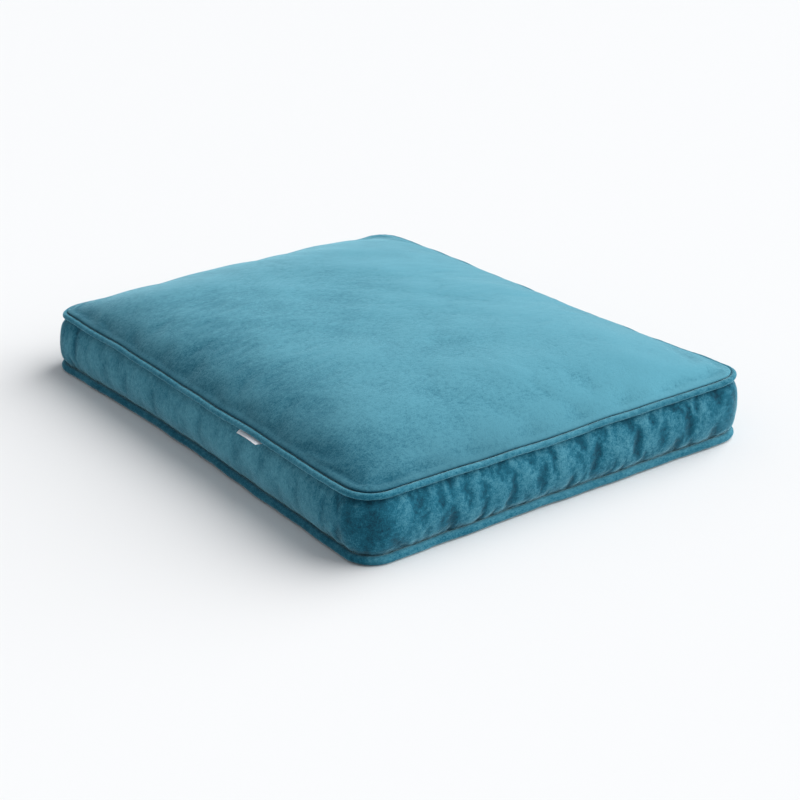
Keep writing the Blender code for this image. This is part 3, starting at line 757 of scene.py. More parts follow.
def panel_shape(places, at_top, lip, rise):
    """Bends a flat grid's rim into the seam along a lip, and lifts the rest by its rise."""
    depth, outward, arc = outline_of(places)
    depths, outs, ups = np.array(lip).T
    at_rim = depth < depths[-1]
    out = np.where(at_rim, np.interp(depth, depths, outs), -depth)
    shift_out, shift_up = seam_shift(arc, at_top)
    fade = bell(np.maximum(depth, 0), SEAM_PULL, 1.5)
    flat = places + outward * (depth + out + shift_out * fade)[:, None]
    inner = np.clip((depth - depths[-2]) / (3 * RIM_STEP), 0, 1)
    up = np.where(at_rim, np.interp(depth, depths, ups), rise) * (1 - inner) + rise * inner
    return flat, up, shift_up * fade, depth


class CUSHION_OT_top_panel(bpy.types.Operator):
    """Make the crowned top panel as slack cloth blown up between its seams"""

    bl_idname = "cushion.top_panel"
    bl_label = "Top panel"

    RIM_COUNT, COARSE_STEP = 9, 0.0085
    SHOULDER = 0.0045  # the padding's height right beside the piping
    SLACK, PRESSURE, TRAVEL, BENDING = 0.003, 0.5, 0.0016, 2.0
    PINNED_RIM = 0.0095
    HELD_FROM, HELD_OVER, HELD = 0.012, 0.05, 0.35  # how strongly the padding holds the cloth
    SWELL_COUNT, SWELL_HEIGHT, SWELL_FADE = 14, 0.0005, 0.02

    def swells(self, places, inside):
        """The padding's own soft unevenness."""
        chance = np.random.default_rng(5)
        soft = np.zeros(len(places))
        for _ in range(self.SWELL_COUNT):
            ahead = places @ direction(chance.uniform(0, math.pi))
            step = chance.uniform(0.05, 0.16)
            soft += np.sin(2 * math.pi * ahead / step + chance.uniform(0, 6.28)) * step
        return soft * (self.SWELL_HEIGHT / np.std(soft) * np.clip(inside / self.SWELL_FADE, 0, 1))

    def execute(self, context):
        size = sizes()
        places, faces = rounded_grid(RIM_STEP, self.RIM_COUNT, self.COARSE_STEP)
        inside = np.maximum(outline_of(places)[0] - PIPING_RADIUS, 0)
        rise = self.SHOULDER + crown_height(places, CROWN - self.SHOULDER)
        rise = rise - size.valley * np.exp(-inside / size.valley_width)
        flat, up, seam_up, depth = panel_shape(places, True, TOP_LIP, rise)
        even = TOP_SEAM + up + seam_up
        points = np.column_stack([flat, even + self.swells(places, inside)])
        panel = new_object("top_panel_cloth", mesh_of("top_panel_cloth", points, faces))
        goal = np.clip((depth - self.HELD_FROM) / self.HELD_OVER, 0, 1) * self.HELD
        rim = depth < self.PINNED_RIM
        inflate(panel, rim, goal, self.SLACK, self.PRESSURE, self.TRAVEL, self.BENDING)
        painted_lighting, crease = self.nap(places, inside, depth)
        # Painted light where the cloth swelled above its even height, painted shade where it sank.
        risen = np.clip((positions(panel.data)[:, 2] - even) / 0.010, -0.2, 0.2) * (inside > 0.004)
        in_suede(panel, painted_lighting + risen, crease, "top_panel")
        return {"FINISHED"}

    def nap(self, places, inside, depth):
        """Painted light over the top, growing towards the back and the right, a painted highlight on the
        lip's ridge, and painted shade along the front and left edges and in the seam's crevice.
        """
        x, y = places[:, 0], places[:, 1]
        # Painted light grows towards the back and the right, where the lamp falls, and fades towards the
        # front and left edges.
        across = 0.70 + 0.38 * y / HALF_Y + 0.20 * x / HALF_X
        from_front = np.maximum(y + HALF_Y - PIPING_RADIUS, 0)
        from_left = np.maximum(x + HALF_X - PIPING_RADIUS, 0)
        unshaded_share = (1 - bell(from_front, 0.06)) * (1 - 0.5 * bell(from_left, 0.05))
        painted_light_gradient = 0.44 * unshaded_share * across * (1 - 0.25 * bell(inside, 0.02))
        # Painted highlight on the lip's ridge beside the piping.
        lip_highlight = 0.12 * bell(depth - 0.0085, 0.0022)
        # Painted shade along the edges, deepest at the front, and in the seam's crevice.
        front = np.clip(0.5 - y / HALF_Y, 0, 1) * 0.42 + 0.05
        crease = 0.9 * bell(depth, 0.0050, 4) + front * np.exp(-inside / 0.040)
        return painted_light_gradient + lip_highlight, crease


class CUSHION_OT_bottom_panel(bpy.types.Operator):
    """Make the flat underside, turned up into the bottom seam"""

    bl_idname = "cushion.bottom_panel"
    bl_label = "Bottom panel"

    RIM_COUNT, COARSE_STEP = 6, 0.014

    def execute(self, context):
        places, faces = rounded_grid(RIM_STEP, self.RIM_COUNT, self.COARSE_STEP)
        rest = np.full(len(places), sizes().cloth / 2 + HAIR - BOTTOM_SEAM)
        flat, up, seam_up, depth = panel_shape(places, False, BOTTOM_LIP, rest)
        lifted = seam_up * np.clip(1 - depth / (4 * RIM_STEP), 0, 1)
        mesh = mesh_of(
            "bottom_panel_cloth", np.column_stack([flat, BOTTOM_SEAM + up + lifted]), turned_over(faces)
        )
        # Painted shade on the rim beside the bottom seam.
        crease = 0.5 * np.exp(-np.maximum(depth - 0.005, 0) / 0.004)
        in_suede(new_object("bottom_panel_cloth", mesh), np.zeros(len(places)), crease, "bottom_panel")
        return {"FINISHED"}


# The border


def edge_run(level, side):
    """(out, z) of cloth leaving a seam, side +1 upwards from the bottom or -1 down from the top."""
    run = (
        (-TAIL, 0.0020), (-0.0066, 0.0020), (-0.0052, 0.0023), (-0.0044, 0.0034),
        (-0.0036, 0.0052), (-0.0022, 0.0076),
    )
    return [(out, level + side * up) for out, up in run]


def border_profile(count):
    """(out, share of the height) of the border's cloth from the bottom seam to the top one."""
    belly = sizes().belly
    lower = edge_run(0.0, 1) + [(belly - 0.0034, 0.0108), (belly - 0.0014, 0.0165), (belly, 0.0280)]
    upper = [(out, HEIGHT - up) for out, up in reversed(lower)]
    even = resampled(rounded_off(lower + upper), count)
    return even[:, 0], even[:, 1] / HEIGHT


def arc_at(x=None, y=None):
    """The arc of a place on the back side at x, or on the left side at y."""
    place = (x, HALF_Y) if y is None else (-HALF_X, y)
    return outline_of(np.array([place]))[2][0]


def lengthened(body, end, extra):
    """More columns before a strip's first one (end 0) or after its last one (end -1)."""
    return np.concatenate([extra[::-1], body] if end == 0 else [body, extra])


def share_of_height(shape):
    return (shape[:, :, 2] - BOTTOM_SEAM) / HEIGHT


class CUSHION_OT_border(bpy.types.Operator):
    """Make the puckered border as slack cloth blown out between the two pipings"""

    bl_idname = "cushion.border"
    bl_label = "Border"

    STEP, ROWS = 0.0037, 22
    JOIN_GAP = 0.0003
    SLACK, PRESSURE, TRAVEL, BENDING = 0.021, 3.0, 0.006, 0.6
    PINNED_END, PINNED_TAIL, END_EASE = 0.006, -0.0046, 0.03
    FINE_WAVES, FINE_HEIGHT, GRAIN = (37, 59, 83, 127), 0.0010, 0.00015
    SMOOTHING_ROUNDS = 40
    LONG_SIDE_SHARE, SHORT_SIDE_SHARE = 0.16, 0.76  # of the blown cloth's folds that are kept
    CREASE_STEP, SEAM_CREASES, UPPER_CREASES = 0.0095, 0.42, 0.76
    FOLDED_END = ((0.0005, 0.0006), (0.0007, 0.0016), (0.0007, 0.0045), (0.0007, 0.0080))

    def execute(self, context):
        join, whole = arc_at(y=-HALF_Y / 3), outline_length()
        right, left = (arc_at(x=side * (ZIP_END + self.JOIN_GAP)) for side in (1, -1))
        self.sewn("border_main_cloth", join + self.JOIN_GAP, right + whole, 31, "border_main")
        self.sewn("border_left_cloth", left, join - self.JOIN_GAP, 37, "border_left")
        return {"FINISHED"}

    def sewn(self, name, first, last, seed, node):
        shape, arc, out, ends = self.strip(first, last, seed)
        columns, rows = shape.shape[:2]
        start = new_object(name + "_start", mesh_of(name, shape.reshape(-1, 3), quads(columns, rows)))
        seamed = (ends < self.PINNED_END)[:, None] | (out < self.PINNED_TAIL)[None, :]
        goal = np.zeros(columns * rows)
        inflate(start, seamed.ravel(), goal, self.SLACK, self.PRESSURE, self.TRAVEL, self.BENDING)
        shape = positions(start.data).reshape(columns, rows, 3)
        bpy.data.objects.remove(start)
        self.crease(shape, arc, ends, seed)
        self.calm(shape, arc)
        self.push_off_the_pipings(shape, arc)
        shape, painted_lighting, crease = self.turned_in(shape, arc)
        piece = new_object(name, mesh_of(name, shape.reshape(-1, 3), quads(len(shape), rows)))
        in_suede(piece, painted_lighting, crease, node)

    def strip(self, first, last, seed):
        """A strip's points between two arcs, before it is blown up."""
        columns = round((last - first) / self.STEP) + 1
        arc = np.linspace(first, last, columns)
        out, share = border_profile(self.ROWS)
        place, outward, _ = outline_points(arc)
        low_out, low_up = seam_shift(arc, False)
        high_out, high_up = seam_shift(arc, True)
        ends = np.minimum(arc - first, last - arc)
        beside_zip = bell(np.abs(place[:, 0]) - ZIP_END, 0.02)
        flatten = np.where(place[:, 1] > HALF_Y - 0.001, beside_zip, 0)
        loose = np.clip(ends / self.END_EASE, 0, 1)
        shape = np.zeros((columns, self.ROWS, 3))
        for row in range(self.ROWS):
            level = float(np.clip(share[row], 0, 1))
            fine = wander(arc, 43, self.FINE_HEIGHT, self.FINE_WAVES) * math.sin(math.pi * level) * loose
            shift = low_out * (1 - level) + high_out * level + fine
            shift += out[row] * (1 - flatten) + min(out[row], CUSHION_OT_zip_borders.FACE) * flatten
            shape[:, row, :2] = place + outward * shift[:, None]
            seam_up = low_up * (1 - level) + high_up * level
            shape[:, row, 2] = BOTTOM_SEAM + HEIGHT * share[row] + seam_up
        free = (np.arange(self.ROWS) % (self.ROWS - 1) > 0)[None, :, None] * loose[:, None, None]
        shape += np.random.default_rng(seed).normal(0, self.GRAIN, shape.shape) * free
        return shape, arc, out, ends

    def crease(self, shape, arc, ends, seed):
        """Presses short slanting creases into the cloth, most of them running in from a seam."""
        chance = np.random.default_rng(seed + 1)
        outward = outline_points(arc)[1]
        share = share_of_height(shape)
        pressed = np.zeros(share.shape)
        for _ in range(round((arc[-1] - arc[0]) / self.CREASE_STEP)):
            place = chance.uniform(arc[0], arc[-1])
            kind = chance.uniform()
            at_seam = kind < self.UPPER_CREASES
            middle = 0.08 if kind < self.SEAM_CREASES else 0.90 if at_seam else chance.uniform(0.3, 0.7)
            reach = chance.uniform(0.12, 0.34)
            lean = chance.normal(0.10, 0.22) * HEIGHT
            width = chance.uniform(0.0030, 0.0062)
            deep = chance.uniform(0.0006, 0.0022) * (1.0 if at_seam else 0.6)
            across = arc[:, None] - place - lean * (share - middle)
            along = bell(share - middle, reach)
            pressed += deep * along * (bell(across, width) - 0.45 * bell(across, width * 2))
        held = np.clip(ends / 0.012, 0, 1)[:, None]
        held = held * np.clip(np.sin(math.pi * np.clip(share, 0, 1)) / 0.2, 0, 1)
        shape[:, :, :2] -= outward[:, None, :] * (pressed * held)[:, :, None]

    def out_of(self, shape, arc):
        """How far the cloth stands out from the outline, and how much of that its folds are."""
        middle, outward, _ = outline_points(arc)
        out = ((shape[:, :, :2] - middle[:, None, :]) * outward[:, None, :]).sum(2)
        smooth = out.copy()
        for _ in range(self.SMOOTHING_ROUNDS):
            padded = np.concatenate([smooth[:1], smooth, smooth[-1:]])
            smooth = (padded[:-2] + padded[1:-1] * 2 + padded[2:]) / 4
        return out, out - smooth, outward

    def at_short_side(self, arc):
        """1 beside the short sides and the corners, falling to 0 along the long sides."""
        place = outline_points(arc)[0]
        return np.clip(1 - (HALF_X - 0.02 - np.abs(place[:, 0])) / 0.10, 0, 1)

    def calm(self, shape, arc):
        """Leaves fewer folds on the long sides, where the cloth is pulled straighter."""
        _, folds, outward = self.out_of(shape, arc)
        more = self.SHORT_SIDE_SHARE - self.LONG_SIDE_SHARE
        keep = self.LONG_SIDE_SHARE + more * self.at_short_side(arc)
        shape[:, :, :2] -= outward[:, None, :] * (folds * (1 - keep)[:, None])[:, :, None]

    def push_off_the_pipings(self, shape, arc):
        """Brings cloth that swelled into a piping back to its surface."""
        for at_top in (False, True):
            shift_out, shift_up = seam_shift(arc, at_top)
            out, _, outward = self.out_of(shape, arc)
            out = out - shift_out[:, None]
            up = shape[:, :, 2] - (seam_level(at_top) + shift_up)[:, None]
            reach = np.hypot(out, up)
            least = piping_radius(at_top) + sizes().cloth / 2 + HAIR
            near = (reach < least) & (out > -piping_radius(at_top))
            push = np.where(near, least / np.maximum(reach, 1e-6) - 1, 0)
            shape[:, :, :2] += outward[:, None, :] * (out * push)[:, :, None]
            shape[:, :, 2] += up * push

    def nap(self, shape, arc):
        """Painted light on the swells, and painted shade in the folds, beside the seams, near the bottom,
        at the corners and along the short sides.
        """
        held = np.clip(np.minimum(arc - arc[0], arc[-1] - arc) / self.END_EASE, 0, 1)
        raised = self.out_of(shape, arc)[1] * held[:, None]
        share = share_of_height(shape)
        at_corner = (outline_points(arc)[2] < 0).astype(float)
        cornered = np.convolve(at_corner, np.ones(9) / 9, "same")[:, None]
        short = self.at_short_side(arc)[:, None]
        # Painted light and shade: lighter on swells, darker in folds, along the short sides and at the
        # corners.
        painted_lighting = np.clip(raised / 0.0036, -0.26, 0.26) + 0.09 - 0.31 * short - 0.12 * cornered
        # Painted shade beside both seams and near the bottom.
        seamed = 0.80 * bell(np.minimum(share, 1 - share), 0.07) + 0.22 * bell(share, 0.22)
        return painted_lighting, np.clip(seamed + 0.12 * cornered - raised / 0.0042, 0, 0.9)

    def turned_in(self, shape, arc):
        """The strip and its painted light and shade, with both ends folded in where they are sewn to the
        next strip.
        """
        layers = [shape, *self.nap(shape, arc)]
        for end, way in ((0, 1), (-1, -1)):
            middle, outward, _ = (v[0] for v in outline_points(arc[[end]]))
            ahead = np.array([-outward[1], outward[0]]) * way
            last = layers[0][end]
            room = (last[:, :2] - middle) @ outward + TAIL
            extra = np.repeat(last[None], len(self.FOLDED_END), 0)
            for column, (run, inwards) in zip(extra, self.FOLDED_END):
                column[:, :2] += ahead * run
                column[:, :2] -= outward * np.clip(np.minimum(inwards, room), 0, None)[:, None]
            spread = [np.repeat(layer[[end]], len(extra), 0) for layer in layers[1:]]
            layers = [lengthened(body, end, more) for body, more in zip(layers, [extra, *spread])]
        return layers


# Swept pieces, by Geometry Nodes


class Tree(Graph):
    """A Geometry Nodes tree with named inputs, the last of them its material."""

    def __init__(self, name, **inputs):
        self.group = bpy.data.node_groups.new(name, "GeometryNodeTree")
        super().__init__(self.group)
        self.input("Geometry", "Geometry")
        self.group.interface.new_socket("Geometry", in_out="OUTPUT", socket_type="NodeSocketGeometry")
        for title, default in inputs.items():
            socket = self.input(title.replace("_", " "), "Object" if default is None else "Float")
            if default is not None:
                socket.default_value = default
        self.input("Material", "Material")
        self.start = self.node("NodeGroupInput")
        self.end = self.node("NodeGroupOutput")

    def input(self, name, kind):
        return self.group.interface.new_socket(name, in_out="INPUT", socket_type="NodeSocket" + kind)

    def __getitem__(self, name):
        return self.start.outputs[name]

    def line(self):
        return self.first("GeometryNodeMeshToCurve", Mesh=self["Geometry"])

    def repeated(self, instance, rotation):
        """An instance on every step of the line, turned, as the tree's result."""
        even = self.first(
            "GeometryNodeResampleCurve", {"mode": "LENGTH"}, Curve=self.line(), Length=self["Pitch"]
        )
        laid = self.first("GeometryNodeInstanceOnPoints", Points=even, Instance=instance, Rotation=rotation)
        return self.closed(laid)

    def closed(self, geometry):
        smooth = self.first("GeometryNodeSetShadeSmooth", Geometry=geometry)
        solid = self.first("GeometryNodeRealizeInstances", Geometry=smooth)
        painted = self.first("GeometryNodeSetMaterial", Geometry=solid, Material=self["Material"])
        self.feed(self.end.inputs[0], painted)
        return self


def grown(name, guide_mesh, tree, **values):
    """The tree's result on a guide mesh, as a plain mesh object."""
    guide = new_object(name, guide_mesh)
    nodes = guide.modifiers.new("nodes", "NODES")
    nodes.node_group = tree.group
    for item in tree.group.interface.items_tree:
        if item.in_out == "INPUT" and item.name.replace(" ", "_") in values:
            nodes[item.identifier] = values[item.name.replace(" ", "_")]
    apply(guide)
    guide.data.materials.clear()
    guide.data.materials.append(values["Material"])
    guide.data.polygons.foreach_set("material_index", np.zeros(len(guide.data.polygons), np.int32))
    return guide


def line_mesh(name, points, closed=False):
    mesh = bpy.data.meshes.new(name)
    edges = [(i, i + 1) for i in range(len(points) - 1)]
    if closed:
        edges.append((len(points) - 1, 0))
    mesh.from_pydata([tuple(p) for p in points], edges, [])
    return mesh


def piping_tree():
    """A cloth tube of a given section along a line, with small wrinkles of cloth cut on the bias."""
    tree = Tree("piping", Section=None, Twist=0.0, Wrinkle_depth=0.0002, Wrinkle_scale=90.0)
    upright = tree.first("GeometryNodeSetCurveNormal", {"mode": "Z_UP"}, Curve=tree.line())
    along = tree.node("GeometryNodeSplineParameter").outputs["Length"]
    tilt = tree.maths("MULTIPLY", along, tree["Twist"])
    twisted = tree.first("GeometryNodeSetCurveTilt", Curve=upright, Tilt=tilt)
    section = tree.node("GeometryNodeObjectInfo", Object=tree["Section"]).outputs["Geometry"]
    ring = tree.first("GeometryNodeMeshToCurve", Mesh=section)
    tube = tree.first("GeometryNodeCurveToMesh", Curve=twisted, Profile_Curve=ring)
    noise = tree.node(
        "ShaderNodeTexNoise", Vector=tree.first("GeometryNodeInputPosition"),
        Scale=tree["Wrinkle scale"], Detail=2.0,
    ).outputs["Fac"]
    depth = tree.maths("MULTIPLY", tree.maths("SUBTRACT", noise, 0.5), tree["Wrinkle depth"])
    facing = tree.first("GeometryNodeInputNormal")
    push = tree.first("ShaderNodeVectorMath", {"operation": "SCALE"}, Vector=facing, Scale=depth)
    return tree.closed(tree.first("GeometryNodeSetPosition", Geometry=tube, Offset=push))


def stitch_tree():
    """A short rounded stitch of thread laid on every point of a line, along it."""
    tree = Tree("stitches", Pitch=0.0034, Length=0.0026, Thickness=0.0004)
    radius = tree.maths("MULTIPLY", tree["Thickness"], 0.5)
    bead = tree.first("GeometryNodeMeshUVSphere", Segments=6, Rings=6, Radius=radius)
    stretch = tree.maths("DIVIDE", tree["Length"], tree["Thickness"])
    scale = tree.first("ShaderNodeCombineXYZ", X=1.0, Y=1.0, Z=stretch)
    stitch = tree.first("GeometryNodeTransform", Geometry=bead, Scale=scale)
    tangent = tree.first("GeometryNodeInputTangent")
    aimed = tree.first("FunctionNodeAlignRotationToVector", {"axis": "Z"}, Vector=tangent)
    return tree.repeated(stitch, aimed)


def coil_tree():
    """Turns of nylon wire side by side along a line, which make one row of a zip's coil."""
    tree = Tree("coil", Pitch=0.0016, Wire=0.0005, Depth=0.0020, Width=0.0030, Slant=0.2)
    loop = tree.first("GeometryNodeCurvePrimitiveCircle", Resolution=8, Radius=0.5)
    deep, wide = (tree.maths("SUBTRACT", tree[name], tree["Wire"]) for name in ("Depth", "Width"))
    scale = tree.first("ShaderNodeCombineXYZ", X=deep, Y=wide, Z=1.0)
    oval = tree.first("GeometryNodeTransform", Geometry=loop, Scale=scale)
    radius = tree.maths("MULTIPLY", tree["Wire"], 0.5)
    wire = tree.first("GeometryNodeCurvePrimitiveCircle", Resolution=5, Radius=radius)
    turn = tree.first("GeometryNodeCurveToMesh", Curve=oval, Profile_Curve=wire)
    quarter = math.pi / 2
    lean = tree.first("ShaderNodeCombineXYZ", X=quarter, Y=tree["Slant"], Z=quarter)
    return tree.repeated(turn, tree.first("FunctionNodeEulerToRotation", Euler=lean))


class CUSHION_OT_pipings(bpy.types.Operator):
    """Make the two pipings, each a bias sleeve sewn shut round a twisted cotton cord"""

    bl_idname = "cushion.pipings"
    bl_label = "Pipings"

    COUNT, CORD_COUNT = 900, 1400
    CORD_TWIST = 520.0  # radians a metre

    def sleeve_section(self, radius):
        cloth = sizes().cloth
        opening = math.asin((cloth + 0.0002) / radius)
        angles = np.linspace(math.pi - opening, opening - math.pi, 19)
        return [tuple(radius * direction(a)) for a in angles] + [(-TAIL, -cloth), (-TAIL, cloth)]

    def cord_section(self, radius):
        angles = np.linspace(0, 2 * math.pi, 12, endpoint=False)
        lobes = radius * (0.90 + 0.09 * np.cos(3 * angles))
        return list(zip(lobes * np.cos(angles), lobes * np.sin(angles)))

    def swept(self, name, tree, section, count, at_top, **values):
        """A closed section, (out, up) from the seam line that it follows, swept along it."""
        around = new_object("section", line_mesh("section", [(*p, 0) for p in section], closed=True))
        line = line_mesh(name, seam_line(count, at_top), closed=True)
        made = grown(name, line, tree, Section=around, **values)
        bpy.data.objects.remove(around)
        return made

    def execute(self, context):
        tree = piping_tree()
        cotton = fibrous("twisted_cotton", colours().cotton, 420.0, 0.0002)
        for place, at_top in (("top", True), ("bottom", False)):
            name, radius = f"{place}_piping", piping_radius(at_top)
            sleeve = self.swept(
                name + "_sleeve_cloth", tree, self.sleeve_section(radius), self.COUNT, at_top,
                Wrinkle_depth=0.0012, Wrinkle_scale=75.0, Material=suede(),
            )
            self.mark(sleeve, at_top)
            finished(sleeve, "suede", name + "_sleeve")
            cord = self.swept(
                name + "_cotton", tree, self.cord_section(radius - sizes().cloth), self.CORD_COUNT, at_top,
                Twist=self.CORD_TWIST, Wrinkle_depth=0.0, Material=cotton,
            )
            finished(cord, "cord_cotton", name + "_cord")
        return {"FINISHED"}

    def mark(self, sleeve, at_top):
        """Painted highlight along the piping's upper side, painted shade on its inner and lower sides where
        it meets the seam, and the bottom piping painted darker, most on the long sides.
        """
        points = positions(sleeve.data)
        depth, outward, arc = outline_of(points[:, :2])
        shift_out, shift_up = seam_shift(arc, at_top)
        up = (points[:, 2] - seam_level(at_top) - shift_up) / PIPING_RADIUS
        out = (-depth - shift_out) / PIPING_RADIUS
        # Painted highlight on the piping's upper side.
        lit = np.clip(up, 0, 1) ** 2
        # Painted shade on the bottom piping, deeper on the long sides, which face away from the lamp.
        low = np.where(np.abs(outward[:, 0]) > 0.7, -0.10, -0.30)
        store(sleeve.data, "painted_lighting", -0.12 + 0.34 * lit if at_top else low + 0.22 * lit)
        store(sleeve.data, "crease", np.clip(-out * 0.9 - 0.25 - 0.5 * np.minimum(up, 0), 0, 0.8))


class CUSHION_OT_zip_borders(bpy.types.Operator):
    """Make the two back strips, folded to a straight hem on each side of the zip"""

    bl_idname = "cushion.zip_borders"
    bl_label = "Zip borders"

    STEP, ROWS = 0.0024, 26
    FACE, FOLD_RADIUS, HEM = 0.0003, 0.0009, 0.0100  # outwards from the pipings' line
    END_GAP = 0.0012
    FOLDED_END = ((0.0005, 0.0006), (0.0006, 0.0016), (0.0006, 0.0050))

    def section(self, level, side, fold):
        """(out, z) from the seam to the fold and back up the hem."""
        radius = self.FOLD_RADIUS
        bend = fold - side * (radius + sizes().cloth / 2)
        run = edge_run(level, side)
        run += [(self.FACE - 0.0004, level + side * 0.0125), (self.FACE, bend)]
        middle = self.FACE - radius
        for turn in map(math.radians, (45, 90, 135)):
            run.append((middle + radius * math.cos(turn), bend + side * radius * math.sin(turn)))
        return run + [(middle - radius, bend), (middle - radius, bend - side * self.HEM)]

    def execute(self, context):
        self.strip("upper", TOP_SEAM, -1, 51)
        self.strip("lower", BOTTOM_SEAM, 1, 57)
        return {"FINISHED"}

    def strip(self, name, level, side, seed):
        fold = ZIP_FOLDS[name]
        section = resampled(rounded_off(self.section(level, side, fold), 1), self.ROWS)
        half = ZIP_END - self.END_GAP
        x = np.linspace(half, -half, round(2 * half / self.STEP) + 1)
        arc = np.array([arc_at(x=v) for v in x])
        shift_out, shift_up = seam_shift(arc, side < 0)
        points = np.zeros((len(x), self.ROWS, 3))
        pucker = wander(arc, seed, 0.0008, (61, 97, 139, 211))
        tucks = np.abs(wander(arc, seed + 1, 0.0012, (83, 151, 233)))
        for row, (out, z) in enumerate(section):
            near = float(np.clip(1 - abs(z - level) / (abs(fold - level) * 0.85), 0, 1))
            near *= row < self.ROWS * 0.6
            swell = math.sin(math.pi * min(near * 1.1, 1.0))
            points[:, row, 0] = x
            points[:, row, 1] = HALF_Y + out + shift_out * near + (pucker + tucks * 0.5) * swell
            points[:, row, 2] = z + shift_up * near
        points = self.tucked(points)
        faces = quads(len(points), self.ROWS)
        mesh = mesh_of(name, points.reshape(-1, 3), turned_over(faces) if side < 0 else faces)
        # Painted highlight along the fold, painted light on cloth standing out and painted shade on cloth
        # set back, and painted shade beside the seam.
        lit = 0.25 * bell(np.abs(points[:, :, 2] - fold), 0.002) - 0.16
        painted_lighting = lit + np.clip((points[:, :, 1] - HALF_Y) / 0.006, -0.2, 0.2)
        crease = 0.7 * bell(np.abs(points[:, :, 2] - level), 0.006)
        in_suede(new_object(f"zip_border_{name}_cloth", mesh), painted_lighting, crease, f"zip_border_{name}")

    def tucked(self, points):
        """Turns both ends inwards, where they are sewn to the border."""
        for end, ahead in ((0, 1), (-1, -1)):
            extra = np.repeat(points[[end]], len(self.FOLDED_END), 0)
            for column, (run, inwards) in zip(extra, self.FOLDED_END):
                column[:, 0] += ahead * run
                column[:, 1] -= np.minimum(inwards, np.clip(column[:, 1] - (HALF_Y - TAIL), 0, None))
            points = lengthened(points, end, extra)
        return points


class CUSHION_OT_zip(bpy.types.Operator):
    """Make the zip's coil and its topstitching, and finish its tapes, stops, slider and pull"""

    bl_idname = "cushion.zip"
    bl_label = "Zip"

    WIRE = 0.00055
    CHAIN_WIDTH = 0.0026  # of each half
    BITE = 0.00035  # of each half's turns past the line where the halves meet
    SLANT = 0.22  # of each turn, in radians
    PARTING, POST_AHEAD = 0.0050, 0.0022  # of the slider's wedge, ahead of the slider's middle
    STITCHED_END, TAPE_WEAVE = 0.004, 0.0009

    STITCH_IN, STITCH_THICKNESS, STITCH_SHARE = 0.0026, 0.00060, 0.76  # share of the pitch

    def chain_run(self, low, high, way):
        """The middle of one half: shut up to the slider, then led round its wedge to the stop."""
        edge = low.z if way > 0 else high.z
        apart = high.z - low.z - self.CHAIN_WIDTH + self.BITE / 2
        slider_low, slider_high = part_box("zip_slider")
        post = (slider_low.x + slider_high.x) / 2 + self.POST_AHEAD
        middle = edge + way * (self.CHAIN_WIDTH - self.BITE) / 2
        shift = sizes().coil_pitch / 4 * way
        ends = high.x - sizes().coil_pitch
        run = [(ends, apart), (post, apart), (post - self.PARTING, 0.0), (-ends, 0.0)]
        return [(x + shift, (low.y + high.y) / 2, middle + way * up) for x, up in run]

    def execute(self, context):
        halves = (("upper", 1), ("lower", -1))
        coils, coil = coil_tree(), nylon()
        for name, way in halves:
            low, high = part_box(f"zip_chain_{name}")
            row = grown(
                f"zip_coil_{name}", line_mesh(name, self.chain_run(low, high, way)), coils,
                Pitch=sizes().coil_pitch, Wire=self.WIRE, Width=self.CHAIN_WIDTH + self.BITE,
                Depth=high.y - low.y, Slant=way * self.SLANT, Material=coil,
            )
            finished(row, "zip_nylon", f"zip_chain_{name}")
        stitches, cotton, pitch = stitch_tree(), thread(), sizes().stitch_pitch
        face = HALF_Y + CUSHION_OT_zip_borders.FACE + sizes().cloth / 2 + HAIR / 2
        reach = ZIP_END - self.STITCHED_END
        for name, way in halves:
            level = ZIP_FOLDS[name] + way * self.STITCH_IN
            row = grown(
                f"zip_topstitch_{name}", line_mesh(name, [(reach, face, level), (-reach, face, level)]),
                stitches, Pitch=pitch, Length=pitch * self.STITCH_SHARE,
                Thickness=self.STITCH_THICKNESS, Material=cotton,
            )
            finished(row, "suede")
        tape = woven("zip_tape_weave", colours().zip_cloth, self.TAPE_WEAVE)
        for node in ("zip_tape_upper", "zip_tape_lower"):
            repaint(node, tape)
        metal = enamelled()
        stops = ("zip_top_stop_upper", "zip_top_stop_lower", "zip_bottom_stop")
        for node in (*stops, "zip_slider", "zip_pull"):
            repaint(node, metal)
        return {"FINISHED"}


def repaint(node, material):
    """Gives one of the frame's own solids a finished material."""
    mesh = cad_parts[node].data
    mesh.materials.clear()
    mesh.materials.append(material)


